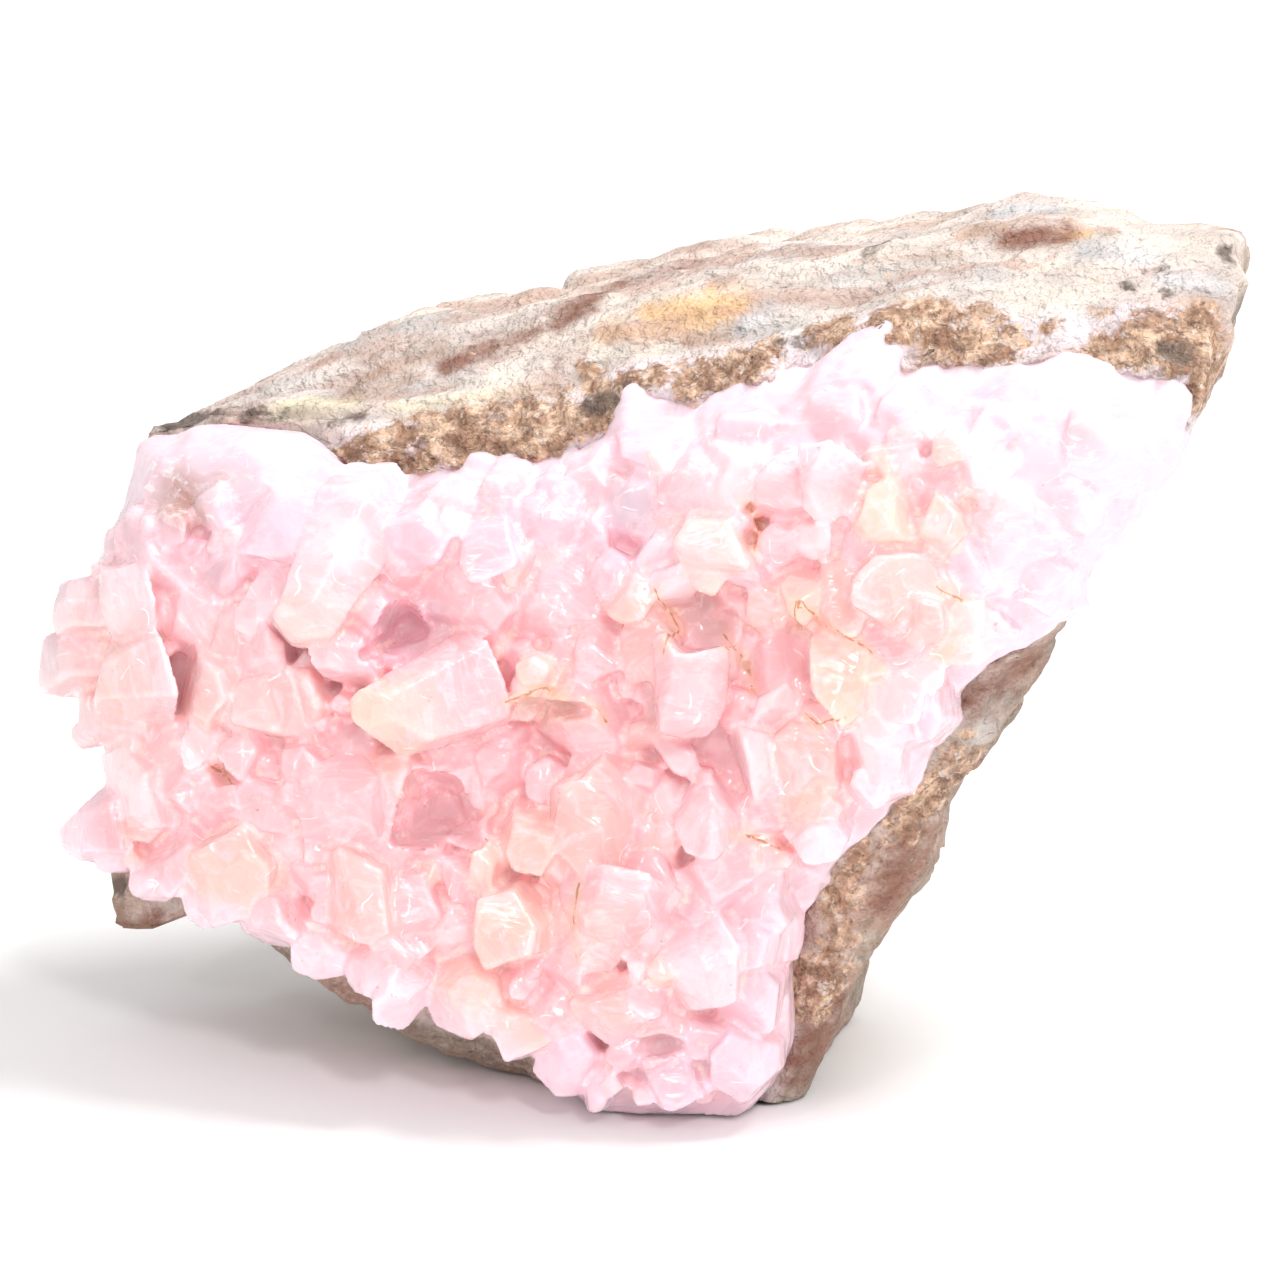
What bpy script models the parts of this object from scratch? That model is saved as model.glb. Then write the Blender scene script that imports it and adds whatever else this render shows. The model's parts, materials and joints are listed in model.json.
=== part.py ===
"""Cobaltoan calcite: a crust of pink crystals grown on a piece of broken, iron-stained rock.

The crust lies along one face of the rock. Places on that face are given in millimetres:
u runs to the right, v runs up the face and h stands out of it. The face is turned a little
to the left and leans back, so that the piece rests on its narrow lower end.
"""

import itertools
import math
import random

import bmesh
import bpy
import numpy as np
from mathutils import Matrix, Vector

MM = 0.001
SEED = 11

# The face in the world: how far it is turned, how far it leans back, and where u, v, h = 0 is.
FACE_TURN = math.radians(12.0)
FACE_LEAN = math.radians(12.0)
FACE_ORIGIN = (0.965, -19.96, 1.4)

CRUST_BACK = -6.0       # the plane where the crust ends
CRUST_LEVEL = -1.9      # mean height of the crust between its crystals
MASSIVE_RISE = 1.7      # how much higher it is on the massive bands
CRUST_RELIEF = 0.9      # how far that level wanders up and down, between crystals
MASSIVE_RELIEF = 0.6    # and on the massive bands
RELIEF_SIZE = 4.5       # width of that relief's swells
EDGE_LIP = 0.7          # thickness of the crust at its very edge
EDGE_WIDTH = 1.8        # how far in the edge is rounded, at the bottom
BROAD_EDGE = 4.6        # and how much further in at the top and right, where it is massive
GAP = 0.3               # left between the crust and the rock
ROCK_BACK = -31.0       # the deepest level of the rock
ROCK_BULGE = 3.0        # how far the back stands out behind that level in the middle
FACE_CENTRE = (-2.0, 27.0)

# Left of this line the face bends back, by this much for each square millimetre.
BEND_START = -22.0
BEND_RATE = 0.022

# Outline of the crust as (u, v), from the upper left corner clockwise.
CRUST_OUTLINE = (
    (-35.5, 38.3), (-29.5, 39.4), (-24.5, 39.3), (-23.0, 37.4), (-20.0, 36.2), (-17.0, 37.8),
    (-13.0, 38.8), (-8.0, 39.3), (-5.5, 41.0), (-4.0, 43.3), (1.0, 43.0), (3.0, 44.3),
    (7.0, 45.3), (9.5, 47.5), (11.5, 48.0), (13.0, 45.6), (18.5, 45.6), (22.0, 46.8),
    (26.0, 46.2), (29.5, 46.0), (30.8, 44.6), (29.8, 42.0), (28.6, 39.4), (26.8, 36.8),
    (24.8, 34.3), (23.2, 31.4), (21.2, 29.2), (18.8, 28.0), (17.2, 26.2), (15.8, 23.5),
    (15.0, 20.6), (13.0, 19.0), (11.8, 17.0), (10.0, 15.6), (8.8, 13.4), (7.4, 11.0),
    (7.2, 8.0), (7.6, 4.0), (6.4, 1.0), (4.2, -1.2), (-3.5, -1.4), (-6.5, 0.6),
    (-9.2, 2.8), (-12.0, 4.0), (-16.0, 5.4), (-20.0, 7.0), (-24.0, 8.4), (-28.0, 10.0),
    (-32.5, 11.0), (-36.6, 12.0), (-38.6, 13.8), (-37.4, 16.6), (-37.2, 19.6), (-39.6, 22.2),
    (-40.2, 26.6), (-38.8, 30.2), (-36.8, 34.4),
)

# Outline of the rock at four depths, each clockwise from the upper left corner.
ROCK_LEVELS = (
    (CRUST_BACK - GAP, (
        (-36.4, 39.0), (-30.0, 40.4), (-25.0, 40.8), (-20.0, 41.0), (-14.0, 41.8),
        (-9.0, 43.0), (-4.5, 45.4), (0.5, 46.6), (6.0, 47.8), (11.0, 49.4), (15.0, 50.0),
        (20.0, 50.4), (25.0, 50.8), (29.5, 51.4), (32.0, 51.2), (32.3, 48.4), (31.4, 44.8),
        (28.6, 39.6), (25.0, 34.6), (23.4, 31.4), (21.0, 27.8), (18.8, 23.6), (16.2, 19.8),
        (15.2, 16.0), (13.6, 13.0), (12.2, 10.0), (10.8, 6.6), (9.2, 3.4), (8.0, 1.0),
        (6.0, -2.0), (-7.4, -2.0), (-9.6, 0.4), (-13.0, 1.4), (-16.2, 2.0), (-20.0, 4.0),
        (-24.0, 5.6), (-27.4, 8.6), (-32.2, 9.0), (-34.0, 7.2), (-38.6, 6.6), (-40.2, 10.0),
        (-41.0, 15.0), (-40.2, 18.8), (-40.6, 23.0), (-40.0, 28.0), (-38.8, 33.0),
    )),
    (-13.0, (
        (-37.6, 38.6), (-31.6, 40.8), (-26.0, 43.4), (-20.0, 45.6), (-14.0, 46.8),
        (-8.0, 48.6), (-1.0, 50.2), (6.0, 51.6), (12.0, 52.8), (18.0, 53.8), (24.0, 53.8),
        (31.4, 54.2), (31.8, 50.6), (30.6, 46.8), (28.4, 42.6), (25.0, 37.6), (22.8, 33.4),
        (20.6, 28.0), (18.4, 22.4), (15.2, 19.2), (14.4, 14.2), (11.5, 10.2), (10.0, 5.8),
        (8.4, 2.4), (6.6, -1.6), (-9.0, -1.6), (-12.0, 0.6), (-16.0, 2.0), (-20.0, 4.2),
        (-25.0, 6.8), (-31.0, 8.4), (-37.6, 7.4), (-39.2, 13.0), (-39.4, 19.0), (-39.8, 25.0),
        (-39.0, 32.0),
    )),
    (-24.0, (
        (-37.4, 38.2), (-35.2, 39.6), (-31.0, 42.6), (-27.4, 44.2), (-23.4, 46.5),
        (-16.0, 48.2), (-12.2, 50.0), (-4.0, 51.3), (1.8, 52.5), (9.0, 54.3), (12.0, 54.4),
        (17.6, 57.1), (21.0, 57.0), (26.0, 56.0), (31.2, 54.9), (30.4, 49.0), (28.6, 43.4),
        (24.8, 37.4), (21.6, 32.4), (19.0, 27.2), (16.7, 21.3), (13.4, 17.9), (12.6, 12.7),
        (9.6, 8.7), (7.9, 4.1), (6.4, 1.0), (-12.0, 1.6), (-17.0, 4.4), (-22.0, 7.2),
        (-28.0, 10.4), (-33.6, 14.2), (-37.0, 20.0), (-39.0, 27.0), (-38.8, 34.0),
    )),
    (ROCK_BACK, (
        (-32.0, 36.4), (-26.0, 41.4), (-18.0, 45.6), (-9.0, 48.6), (0.0, 50.2), (9.0, 51.6),
        (17.0, 52.2), (24.0, 51.0), (25.8, 47.0), (23.6, 40.4), (19.6, 33.0), (16.0, 25.8),
        (12.8, 19.0), (9.6, 12.4), (7.2, 7.4), (5.0, 3.2), (-9.0, 3.2), (-16.0, 7.6),
        (-23.0, 12.6), (-29.6, 18.4), (-33.4, 26.0), (-34.0, 32.0),
    )),
)

# Flat broken faces of the rock: the direction each looks to, and its distance from the core.
ROCK_CORE = (4.965, -2.96, 28.0)
ROCK_BREAKS = (
    ((0.60, 0.72, -0.35), 17.5),
    ((-0.45, 0.88, -0.12), 24.0),
    ((-0.30, 0.86, 0.41), 25.5),
    ((0.42, 0.86, 0.28), 23.5),
    ((0.05, 0.93, -0.37), 19.5),
    ((-0.25, 0.72, -0.65), 28.0),
)

# The broken surface: size and height of its coarse and its fine bumps, and its ledges.
COARSE_BUMPS = (9.0, 1.1)
FINE_BUMPS = (3.5, 0.5)
LEDGE_SIZE = (15.0, 7.0, 15.0)
LEDGE_WIDTH = 0.12
LEDGE_DEPTH = 0.9

# An open seam across the top of the rock: where it starts, its slant, half width and depth,
# and the size and reach of its wandering.
SEAM_START = (-25.0, -12.0)
SEAM_SLANT = -0.45
SEAM_HALF_WIDTH = 0.9
SEAM_DEPTH = 1.4
SEAM_WANDER = (7.0, 1.5)

# Hollows left open between the crystals: u, v, half width, half height, depth.
HOLLOWS = (
    (-16.9, 28.4, 1.9, 2.2, 2.2), (-13.9, 18.0, 3.4, 2.4, 2.4), (-28.3, 19.2, 2.4, 1.2, 2.0),
    (-27.4, 29.8, 0.8, 2.0, 1.6), (2.6, 30.6, 2.4, 1.7, 2.0), (1.4, 4.7, 2.8, 0.9, 1.8),
    (3.0, 11.7, 2.2, 0.8, 1.8), (-4.4, 23.8, 1.0, 1.2, 1.4), (-11.2, 24.2, 1.4, 1.0, 1.4),
    (-20.4, 21.0, 1.4, 1.2, 1.8), (-12.4, 10.4, 1.8, 1.3, 1.8), (-5.4, 10.4, 0.8, 1.6, 1.6),
    (11.3, 38.0, 0.9, 1.5, 1.4), (-0.4, 20.6, 1.1, 1.2, 1.4), (4.8, 23.6, 0.9, 1.0, 1.2),
)

HOLLOW_DEPTH = 1.4      # how much deeper the hollows are than their rows say

# Crystals: tip u, tip v, rise of the tip, how far the tip leans in u and in v, half width in
# u, half width in v, and the turn of the cap in degrees.
CRYSTALS = (
    (-22.1, 27.4, 4.0, -2.8, -7.4, 2.9, 2.8, 30), (-17.8, 22.6, 4.6, -6.4, -3.2, 3.2, 3.4, 15),
    (-19.2, 17.2, 5.0, -1.4, -1.4, 3.5, 3.2, 0), (-18.4, 11.9, 4.4, -1.0, -1.4, 2.9, 3.0, 8),
    (-26.4, 12.2, 3.4, -1.6, -1.6, 3.3, 3.3, 50), (-40.2, 27.4, 2.4, -5.0, -0.6, 2.4, 2.1, 0),
    (-41.4, 24.0, 1.8, -5.2, -0.8, 2.4, 2.1, 25), (-30.0, 23.6, 3.6, -2.0, -1.8, 3.9, 3.7, 80),
    (-24.2, 22.0, 2.2, -1.0, -1.4, 2.9, 3.4, 40), (-21.5, 23.6, 1.4, -1.0, -0.8, 1.6, 1.8, 10),
    (-34.4, 17.0, 2.4, -2.4, -1.0, 3.5, 3.1, 65), (-39.0, 13.6, 1.6, -3.2, -1.0, 2.6, 2.3, 20),
    (-31.8, 13.0, 2.4, -1.6, -1.6, 2.7, 2.7, 100), (-24.9, 16.4, 2.6, -1.0, -1.2, 2.9, 2.5, 5),
    (-25.2, 28.3, 2.4, -1.0, -1.4, 2.3, 2.9, 70), (-25.0, 33.4, 1.8, -1.4, -1.0, 3.7, 2.9, 25),
    (-33.8, 31.0, 2.0, -2.4, -0.6, 3.9, 3.3, 55), (-30.6, 27.6, 2.0, -1.4, -1.0, 2.4, 2.6, 0),
    (-36.6, 28.2, 2.2, -3.0, -0.6, 2.7, 2.5, 35), (-35.4, 23.8, 2.4, -3.0, -1.0, 3.3, 3.1, 85),
    (-37.2, 20.6, 1.4, -3.0, -1.0, 2.7, 2.2, 10), (-13.0, 30.2, 2.2, -0.8, -1.6, 3.5, 3.5, 90),
    (-11.2, 33.2, 2.8, -0.4, -1.4, 2.4, 2.3, 45), (-7.9, 26.2, 2.8, 0.0, -0.6, 1.3, 1.5, 0),
    (-7.3, 22.2, 1.0, -0.6, -0.8, 2.7, 2.6, 60), (-10.4, 19.5, 1.6, -0.4, -1.0, 2.0, 2.1, 20),
    (-7.9, 16.4, 3.4, -0.8, -1.6, 2.8, 3.3, 75), (-3.5, 16.8, 3.8, -0.6, -2.0, 2.8, 3.9, 0),
    (-12.1, 13.3, 2.2, -0.6, -0.8, 1.9, 1.8, 30), (-8.6, 10.8, 4.0, -0.8, -1.2, 3.0, 2.9, 45),
    (-6.9, 14.0, 2.6, 0.0, -1.0, 2.3, 1.9, 90), (-2.6, 10.2, 3.2, -0.4, -3.2, 2.7, 2.9, 10),
    (-2.5, 6.0, 2.6, -0.6, -1.8, 2.6, 2.6, 60), (-9.6, 7.5, 1.6, -0.6, -1.2, 2.7, 2.3, 15),
    (-17.4, 8.0, 3.4, -1.6, -2.0, 4.0, 3.2, 35), (-15.4, 4.9, 3.0, -0.4, -3.2, 1.9, 2.0, 0),
    (-11.5, 5.6, 3.0, -0.5, -2.0, 2.9, 3.2, 70), (-8.0, 3.8, 2.2, -0.6, -2.0, 2.0, 2.0, 25),
    (-24.2, 9.6, 2.8, -1.4, -2.0, 3.2, 2.7, 95), (-20.8, 7.6, 2.0, -0.8, -2.0, 2.5, 2.0, 50),
    (-28.2, 10.6, 1.8, -1.2, -1.6, 2.4, 1.9, 5), (-5.2, 2.2, 1.4, -0.5, -1.0, 2.8, 2.7, 40),
    (1.0, 1.4, 1.2, 0.0, -0.8, 2.9, 2.3, 80), (5.2, 2.8, 1.2, 0.6, -0.6, 2.7, 2.8, 10),
    (3.2, 8.7, 3.0, 0.2, -1.0, 2.5, 2.9, 55), (5.8, 6.6, 0.4, 0.6, -0.4, 2.0, 2.4, 0),
    (4.2, 13.9, 1.8, 0.3, -0.8, 4.0, 3.1, 20), (3.0, 17.8, 3.0, 0.0, -0.8, 2.1, 2.4, 90),
    (0.0, 16.6, 2.0, -0.2, -0.8, 1.5, 2.3, 35), (2.2, 23.2, 4.0, 0.9, -4.8, 2.4, 2.7, 60),
    (1.8, 21.0, 2.4, 2.8, -2.6, 1.0, 1.0, 15), (-1.6, 26.8, 2.4, -0.4, -2.6, 1.5, 2.7, 70),
    (-4.1, 27.3, 2.2, -0.6, -2.0, 2.0, 3.1, 5), (-2.3, 30.9, 2.6, 0.0, -0.8, 1.9, 1.7, 45),
    (2.6, 34.1, 3.2, 0.2, -1.0, 2.7, 2.4, 85), (3.0, 38.2, 2.0, 0.4, -1.2, 2.5, 2.3, 25),
    (6.6, 37.6, 2.2, 0.0, -1.4, 2.0, 2.4, 65), (9.4, 37.0, 3.2, -0.2, -3.2, 1.8, 2.0, 0),
    (13.2, 36.4, 2.8, 0.0, -1.0, 2.2, 2.4, 35), (16.2, 36.0, 2.0, 0.2, -1.0, 1.7, 2.5, 75),
    (8.6, 35.0, 2.4, -0.2, -1.2, 1.9, 1.8, 10), (6.2, 31.6, 1.8, 0.0, -1.2, 1.8, 3.3, 50),
    (10.5, 31.4, 2.4, 0.2, -1.4, 2.2, 2.9, 95), (14.3, 32.0, 3.2, 0.3, -1.6, 2.7, 2.8, 20),
    (11.0, 27.4, 2.6, 0.3, -1.6, 2.4, 3.1, 60), (6.2, 26.8, 0.6, 0.0, -1.0, 2.5, 3.3, 0),
    (13.9, 27.0, 1.8, 0.6, -1.2, 2.5, 2.9, 40), (17.4, 30.0, 1.4, 0.6, -0.8, 2.3, 2.6, 80),
    (8.6, 21.6, 1.8, 0.2, -1.0, 2.7, 2.9, 15), (12.4, 22.0, 1.2, 0.6, -0.8, 2.5, 2.5, 55),
    (9.8, 16.9, 2.2, 0.8, -1.2, 2.6, 1.6, 30), (7.0, 18.7, 1.2, 0.4, -0.8, 2.3, 1.7, 90),
    (13.9, 41.2, 0.8, 0.0, -0.6, 1.4, 1.5, 0), (16.3, 40.9, 1.4, 0.0, -0.6, 1.1, 1.3, 45),
    (18.7, 40.0, 1.2, 0.4, -1.2, 1.9, 2.3, 70), (20.4, 37.4, 0.8, 0.3, -0.8, 1.7, 2.1, 25),
    (18.4, 34.0, 1.0, 0.4, -1.0, 1.9, 2.4, 5), (-6.0, 31.2, 1.2, -0.4, -0.8, 2.6, 2.4, 35),
    (-8.4, 29.2, 1.0, -0.4, -0.8, 1.9, 2.2, 80), (-7.0, 34.6, 0.8, -0.4, -0.8, 2.6, 2.2, 10),
    (-16.4, 33.4, 1.6, -0.6, -1.8, 2.6, 1.8, 55), (-2.6, 36.6, 0.6, 0.0, -0.8, 2.1, 2.6, 20),
)

# Width of a crystal at its root and at its tip, as shares of the width its row gives.
ROOT_WIDTH = 1.22
TIP_WIDTHS = (0.70, 0.98)

# How far the cap faces slope from flat, in degrees, on a crystal and on a broken lump.
CRYSTAL_SLOPES = (24, 44)
LUMP_SLOPES = (6, 22)

# Small crystals between the listed ones: how many, and their least and greatest half width.
SMALL_CRYSTALS = 40
SMALL_WIDTHS = (0.9, 1.7)

# Low broken lumps on the massive bands: u, v, rise, half width, half height and turn.
LUMPS = (
    (-31.4, 35.2, 0.0, 3.2, 2.4, 20), (-26.6, 35.8, -0.1, 2.8, 2.0, 65),
    (-12.4, 35.4, 0.1, 3.0, 1.7, 40), (-7.6, 36.6, 0.0, 2.4, 1.8, 75),
    (-1.4, 40.0, 0.1, 2.9, 2.0, 15), (4.4, 41.2, 0.2, 2.6, 1.8, 50),
    (9.2, 42.6, 0.1, 2.6, 2.3, 35), (13.0, 42.8, -0.1, 1.9, 2.0, 60),
    (18.0, 42.4, 0.1, 3.0, 1.8, 25), (23.8, 41.6, 0.0, 3.2, 2.4, 80),
    (23.0, 37.4, 0.3, 2.6, 2.8, 10), (22.0, 33.4, 0.1, 2.2, 2.4, 55),
    (19.2, 30.4, 0.2, 2.0, 1.8, 30), (15.2, 25.4, 0.2, 1.9, 2.2, 70),
    (12.8, 20.8, 0.1, 1.8, 1.8, 5),
)


def outline_radius(outline, angles):
    """Distance from the middle of the face to an outline, along each of the angles."""
    points = np.array(outline) - FACE_CENTRE
    ends = np.roll(points, -1, axis=0)
    sides = ends - points
    rays = np.stack([np.cos(angles), np.sin(angles)], axis=1)[:, None]
    across = rays[..., 0] * sides[:, 1] - rays[..., 1] * sides[:, 0]
    across = np.where(np.abs(across) < 1e-9, 1e-9, across)
    reach = (points[:, 0] * sides[:, 1] - points[:, 1] * sides[:, 0]) / across
    place = (points[:, 0] * rays[..., 1] - points[:, 1] * rays[..., 0]) / across
    met = (reach > 0) & (place > -1e-6) & (place < 1 + 1e-6)
    return np.where(met, reach, 0).max(axis=1)


def lattice_noise(points, seed):
    """Smooth random values from -1 to 1, one for each point in space."""
    cell = np.floor(points).astype(np.int64)
    part = points - cell
    part = part * part * (3 - 2 * part)
    total = np.zeros(len(points))
    for corner in itertools.product((0, 1), repeat=3):
        key = (cell + corner) @ np.array([73856093, 19349663, 83492791]) + seed * 2654435
        key = ((key ^ (key >> 13)) * 1274126177) & 0xFFFFFFFF
        value = ((key ^ (key >> 16)) & 0xFFFF) / 32767.5 - 1
        weight = np.where(corner, part, 1 - part).prod(axis=1)
        total += weight * value
    return total


def rough(points, size, seed):
    """Three layers of noise, each half as wide and half as strong as the last."""
    layers = (lattice_noise(points / size * 2**k, seed + k) / 2**k for k in range(3))
    return sum(layers) / 1.75


def ease(low, high, values):
    """0 below low, 1 above high and a smooth step between them."""
    part = np.clip((values - low) / (high - low), 0, 1)
    return part * part * (3 - 2 * part)


def bend(u):
    """How far the left end of the face is bent back at u."""
    return -BEND_RATE * np.clip(BEND_START - u, 0, None) ** 2


def face_matrix():
    """The matrix that takes u, v, h to the world, in millimetres."""
    across = Vector((math.cos(FACE_TURN), -math.sin(FACE_TURN), 0))
    ahead = Vector((-math.sin(FACE_TURN), -math.cos(FACE_TURN), 0))
    lift = Vector((0, 0, 1))
    out = ahead * math.cos(FACE_LEAN) + lift * math.sin(FACE_LEAN)
    up = lift * math.cos(FACE_LEAN) - ahead * math.sin(FACE_LEAN)
    matrix = Matrix((across, up, out)).transposed().to_4x4()
    return Matrix.Translation(FACE_ORIGIN) @ matrix


def to_world(face_points):
    """World places, in millimetres, of an array of u, v, h."""
    matrix = np.array(face_matrix())
    return face_points @ matrix[:3, :3].T + matrix[:3, 3]


def read_points(mesh):
    points = np.empty(len(mesh.vertices) * 3)
    mesh.vertices.foreach_get("co", points)
    return points.reshape(-1, 3)


def write_points(mesh, points):
    mesh.vertices.foreach_set("co", points.ravel())
    mesh.update()


def clear_scene():
    for item in list(bpy.data.objects):
        bpy.data.objects.remove(item, do_unlink=True)


def new_collection(name):
    collection = bpy.data.collections.new(name)
    bpy.context.scene.collection.children.link(collection)
    return collection


def new_material(name, colour, roughness):
    material = bpy.data.materials.new(name)
    material.use_nodes = True
    shader = material.node_tree.nodes["Principled BSDF"]
    shader.inputs["Base Color"].default_value = (*colour, 1)
    shader.inputs["Roughness"].default_value = roughness
    material.diffuse_color = (*colour, 1)
    return material


def new_object(name, shape, collection):
    """An object of this name that holds the faces of a bmesh."""
    mesh = bpy.data.meshes.new(name)
    bmesh.ops.recalc_face_normals(shape, faces=shape.faces)
    shape.to_mesh(mesh)
    shape.free()
    item = bpy.data.objects.new(name, mesh)
    collection.objects.link(item)
    return item


def cut_away(shape, point, direction):
    """Removes what lies beyond a plane, in the direction given, and closes the cut."""
    geometry = shape.verts[:] + shape.edges[:] + shape.faces[:]
    bmesh.ops.bisect_plane(
        shape, geom=geometry, dist=1e-5, plane_co=point, plane_no=direction, clear_outer=True
    )
    bmesh.ops.holes_fill(shape, edges=shape.edges, sides=0)


def ball(name, around, rings, collection):
    """A sphere primitive, with its poles along h, and the angles of each of its points."""
    shape = bmesh.new()
    bmesh.ops.create_uvsphere(shape, u_segments=around, v_segments=rings, radius=1)
    item = new_object(name, shape, collection)
    points = read_points(item.data)
    turn = np.arctan2(points[:, 1], points[:, 0])
    ring = np.arccos(np.clip(points[:, 2], -1, 1)) / math.pi * rings
    return item, turn, np.round(ring)


def crust_level(u, v, turn, edge):
    """Height of the crust between crystals, by place, angle and distance to the outline."""
    places = np.stack([u, v, np.zeros_like(u)], axis=1)
    massive = massive_share(u, v)
    relief = CRUST_RELIEF + (MASSIVE_RELIEF - CRUST_RELIEF) * massive
    level = CRUST_LEVEL + MASSIVE_RISE * massive + relief * rough(places, RELIEF_SIZE, SEED)
    for centre_u, centre_v, half_u, half_v, depth in HOLLOWS:
        away = ((u - centre_u) / half_u) ** 2 + ((v - centre_v) / half_v) ** 2
        level -= HOLLOW_DEPTH * depth * np.exp(-(away**2))
    upper = ease(0.05, 0.45, np.sin(turn)) + ease(0.55, 0.9, np.cos(turn + 0.6))
    width = EDGE_WIDTH + BROAD_EDGE * np.clip(upper, 0, 1)
    lowest = CRUST_BACK + EDGE_LIP
    level = np.maximum(level, lowest + 0.2)
    return lowest + (level - lowest) * np.sqrt(ease(-0.4, 1.6, edge / width))


def make_crust_body(collection):
    """The layer that the crystals grow from: relief in front and a flat back."""
    around, rings = 60, 18
    item, turn, ring = ball("calcite_crust", around, rings, collection)
    reach = outline_radius(CRUST_OUTLINE, turn)
    half = rings // 2
    front = ring <= half
    share = np.where(front, ring / half, np.minimum(1, (rings - ring) / (half - 1)))
    u = FACE_CENTRE[0] + share * reach * np.cos(turn)
    v = FACE_CENTRE[1] + share * reach * np.sin(turn)
    level = crust_level(u, v, turn, (1 - share) * reach)
    h = np.where(front, level, CRUST_BACK)
    write_points(item.data, np.stack([u, v, h], axis=1))
    return item


def make_crystal(index, row, slopes, collection):
    """A six-sided prism with a cap of three faces, leaning the way its row says."""
    tip_u, tip_v, rise, lean_u, lean_v, half_u, half_v, turn = row
    rng = random.Random(SEED * 1000 + index)
    root = Vector((tip_u - lean_u, tip_v - lean_v, CRUST_BACK + 1.4))
    axis = Vector((tip_u, tip_v, rise)) - root
    length = axis.length
    taper = rng.uniform(*TIP_WIDTHS)
    shape = bmesh.new()
    bmesh.ops.create_cone(
        shape, cap_ends=True, segments=6, radius1=ROOT_WIDTH, radius2=taper, depth=1,
        matrix=Matrix.Rotation(math.radians(turn), 4, "Z") @ Matrix.Translation((0, 0, 0.5)),
    )
    bmesh.ops.scale(shape, vec=(half_u, half_v, length), verts=shape.verts)
    apex = Vector((rng.uniform(-0.3, 0.3) * half_u, rng.uniform(-0.3, 0.3) * half_v, length))
    for side in range(3):
        bearing = math.radians(turn + 30 + 120 * side + rng.uniform(-12, 12))
        slope = math.radians(rng.uniform(*slopes))
        flat = math.sin(slope)
        looks = Vector((flat * math.cos(bearing), flat * math.sin(bearing), math.cos(slope)))
        cut_away(shape, apex, looks)
    to_axis = Vector((0, 0, 1)).rotation_difference(axis).to_matrix().to_4x4()
    bmesh.ops.transform(shape, matrix=Matrix.Translation(root) @ to_axis, verts=shape.verts)
    cut_away(shape, (0, 0, CRUST_BACK + 0.5), (0, 0, -1))
    return new_object(f"crystal_{index:02d}", shape, collection)


def massive_share(u, v):
    """0 where crystals stand, 1 on the massive bands along the top and the right."""
    top = ease(-1.5, 2.0, v - (38.6 + 0.13 * u))
    return np.maximum(top, ease(-1.0, 2.0, u - (12.5 + 0.17 * v)))


def small_crystals():
    """Rows for small crystals at random places, outside the hollows and the massive bands."""
    rng = random.Random(SEED)
    rows = []
    while len(rows) < SMALL_CRYSTALS:
        turn, share = rng.uniform(-math.pi, math.pi), math.sqrt(rng.uniform(0, 0.9))
        reach = share * outline_radius(CRUST_OUTLINE, np.array([turn]))[0]
        u = FACE_CENTRE[0] + reach * math.cos(turn)
        v = FACE_CENTRE[1] + reach * math.sin(turn)
        hollow = any(
            ((u - row[0]) / (row[2] + 0.6)) ** 2 + ((v - row[1]) / (row[3] + 0.6)) ** 2 < 1
            for row in HOLLOWS
        )
        if hollow or massive_share(u, v) > 0.2:
            continue
        half = rng.uniform(*SMALL_WIDTHS)
        rise = rng.uniform(-1.2, 1.2)
        lean = (rng.uniform(-1.2, 0.6), rng.uniform(-1.6, 0.2))
        rows.append((u, v, rise, *lean, half, half * rng.uniform(0.9, 1.3), rng.uniform(0, 120)))
    return tuple(rows)


def join_all(item, others):
    """Joins every object of a collection into one, as a single mesh."""
    joined = item.modifiers.new("Join", "BOOLEAN")
    joined.operation = "UNION"
    joined.solver = "EXACT"
    joined.operand_type = "COLLECTION"
    joined.collection = others
    bpy.context.view_layer.update()
    graph = bpy.context.evaluated_depsgraph_get()
    mesh = bpy.data.meshes.new_from_object(item.evaluated_get(graph))
    item.modifiers.clear()
    item.data = mesh
    return mesh


def keep_largest_shell(shape):
    """Removes each small shell, such as a pocket that neighbouring crystals close off."""
    waiting = set(shape.verts)
    shells = []
    while waiting:
        shell, front = set(), [waiting.pop()]
        while front:
            vertex = front.pop()
            shell.add(vertex)
            reached = {edge.other_vert(vertex) for edge in vertex.link_edges} & waiting
            waiting -= reached
            front.extend(reached)
        shells.append(shell)
    largest = max(shells, key=len)
    spare = [vertex for shell in shells if shell is not largest for vertex in shell]
    bmesh.ops.delete(shape, geom=spare, context="VERTS")


def finish_mesh(item, world_points, material):
    """Places the mesh, cuts the flat that the piece rests on, and merges flat faces."""
    write_points(item.data, world_points * MM)
    shape = bmesh.new()
    shape.from_mesh(item.data)
    keep_largest_shell(shape)
    cut_away(shape, (0, 0, 0), (0, 0, -1))
    bmesh.ops.dissolve_limit(
        shape, angle_limit=math.radians(0.5), verts=shape.verts, edges=shape.edges
    )
    bmesh.ops.triangulate(shape, faces=[face for face in shape.faces if len(face.verts) > 3])
    bmesh.ops.recalc_face_normals(shape, faces=shape.faces)
    shape.to_mesh(item.data)
    shape.free()
    item.data.materials.clear()
    item.data.materials.append(material)


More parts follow.
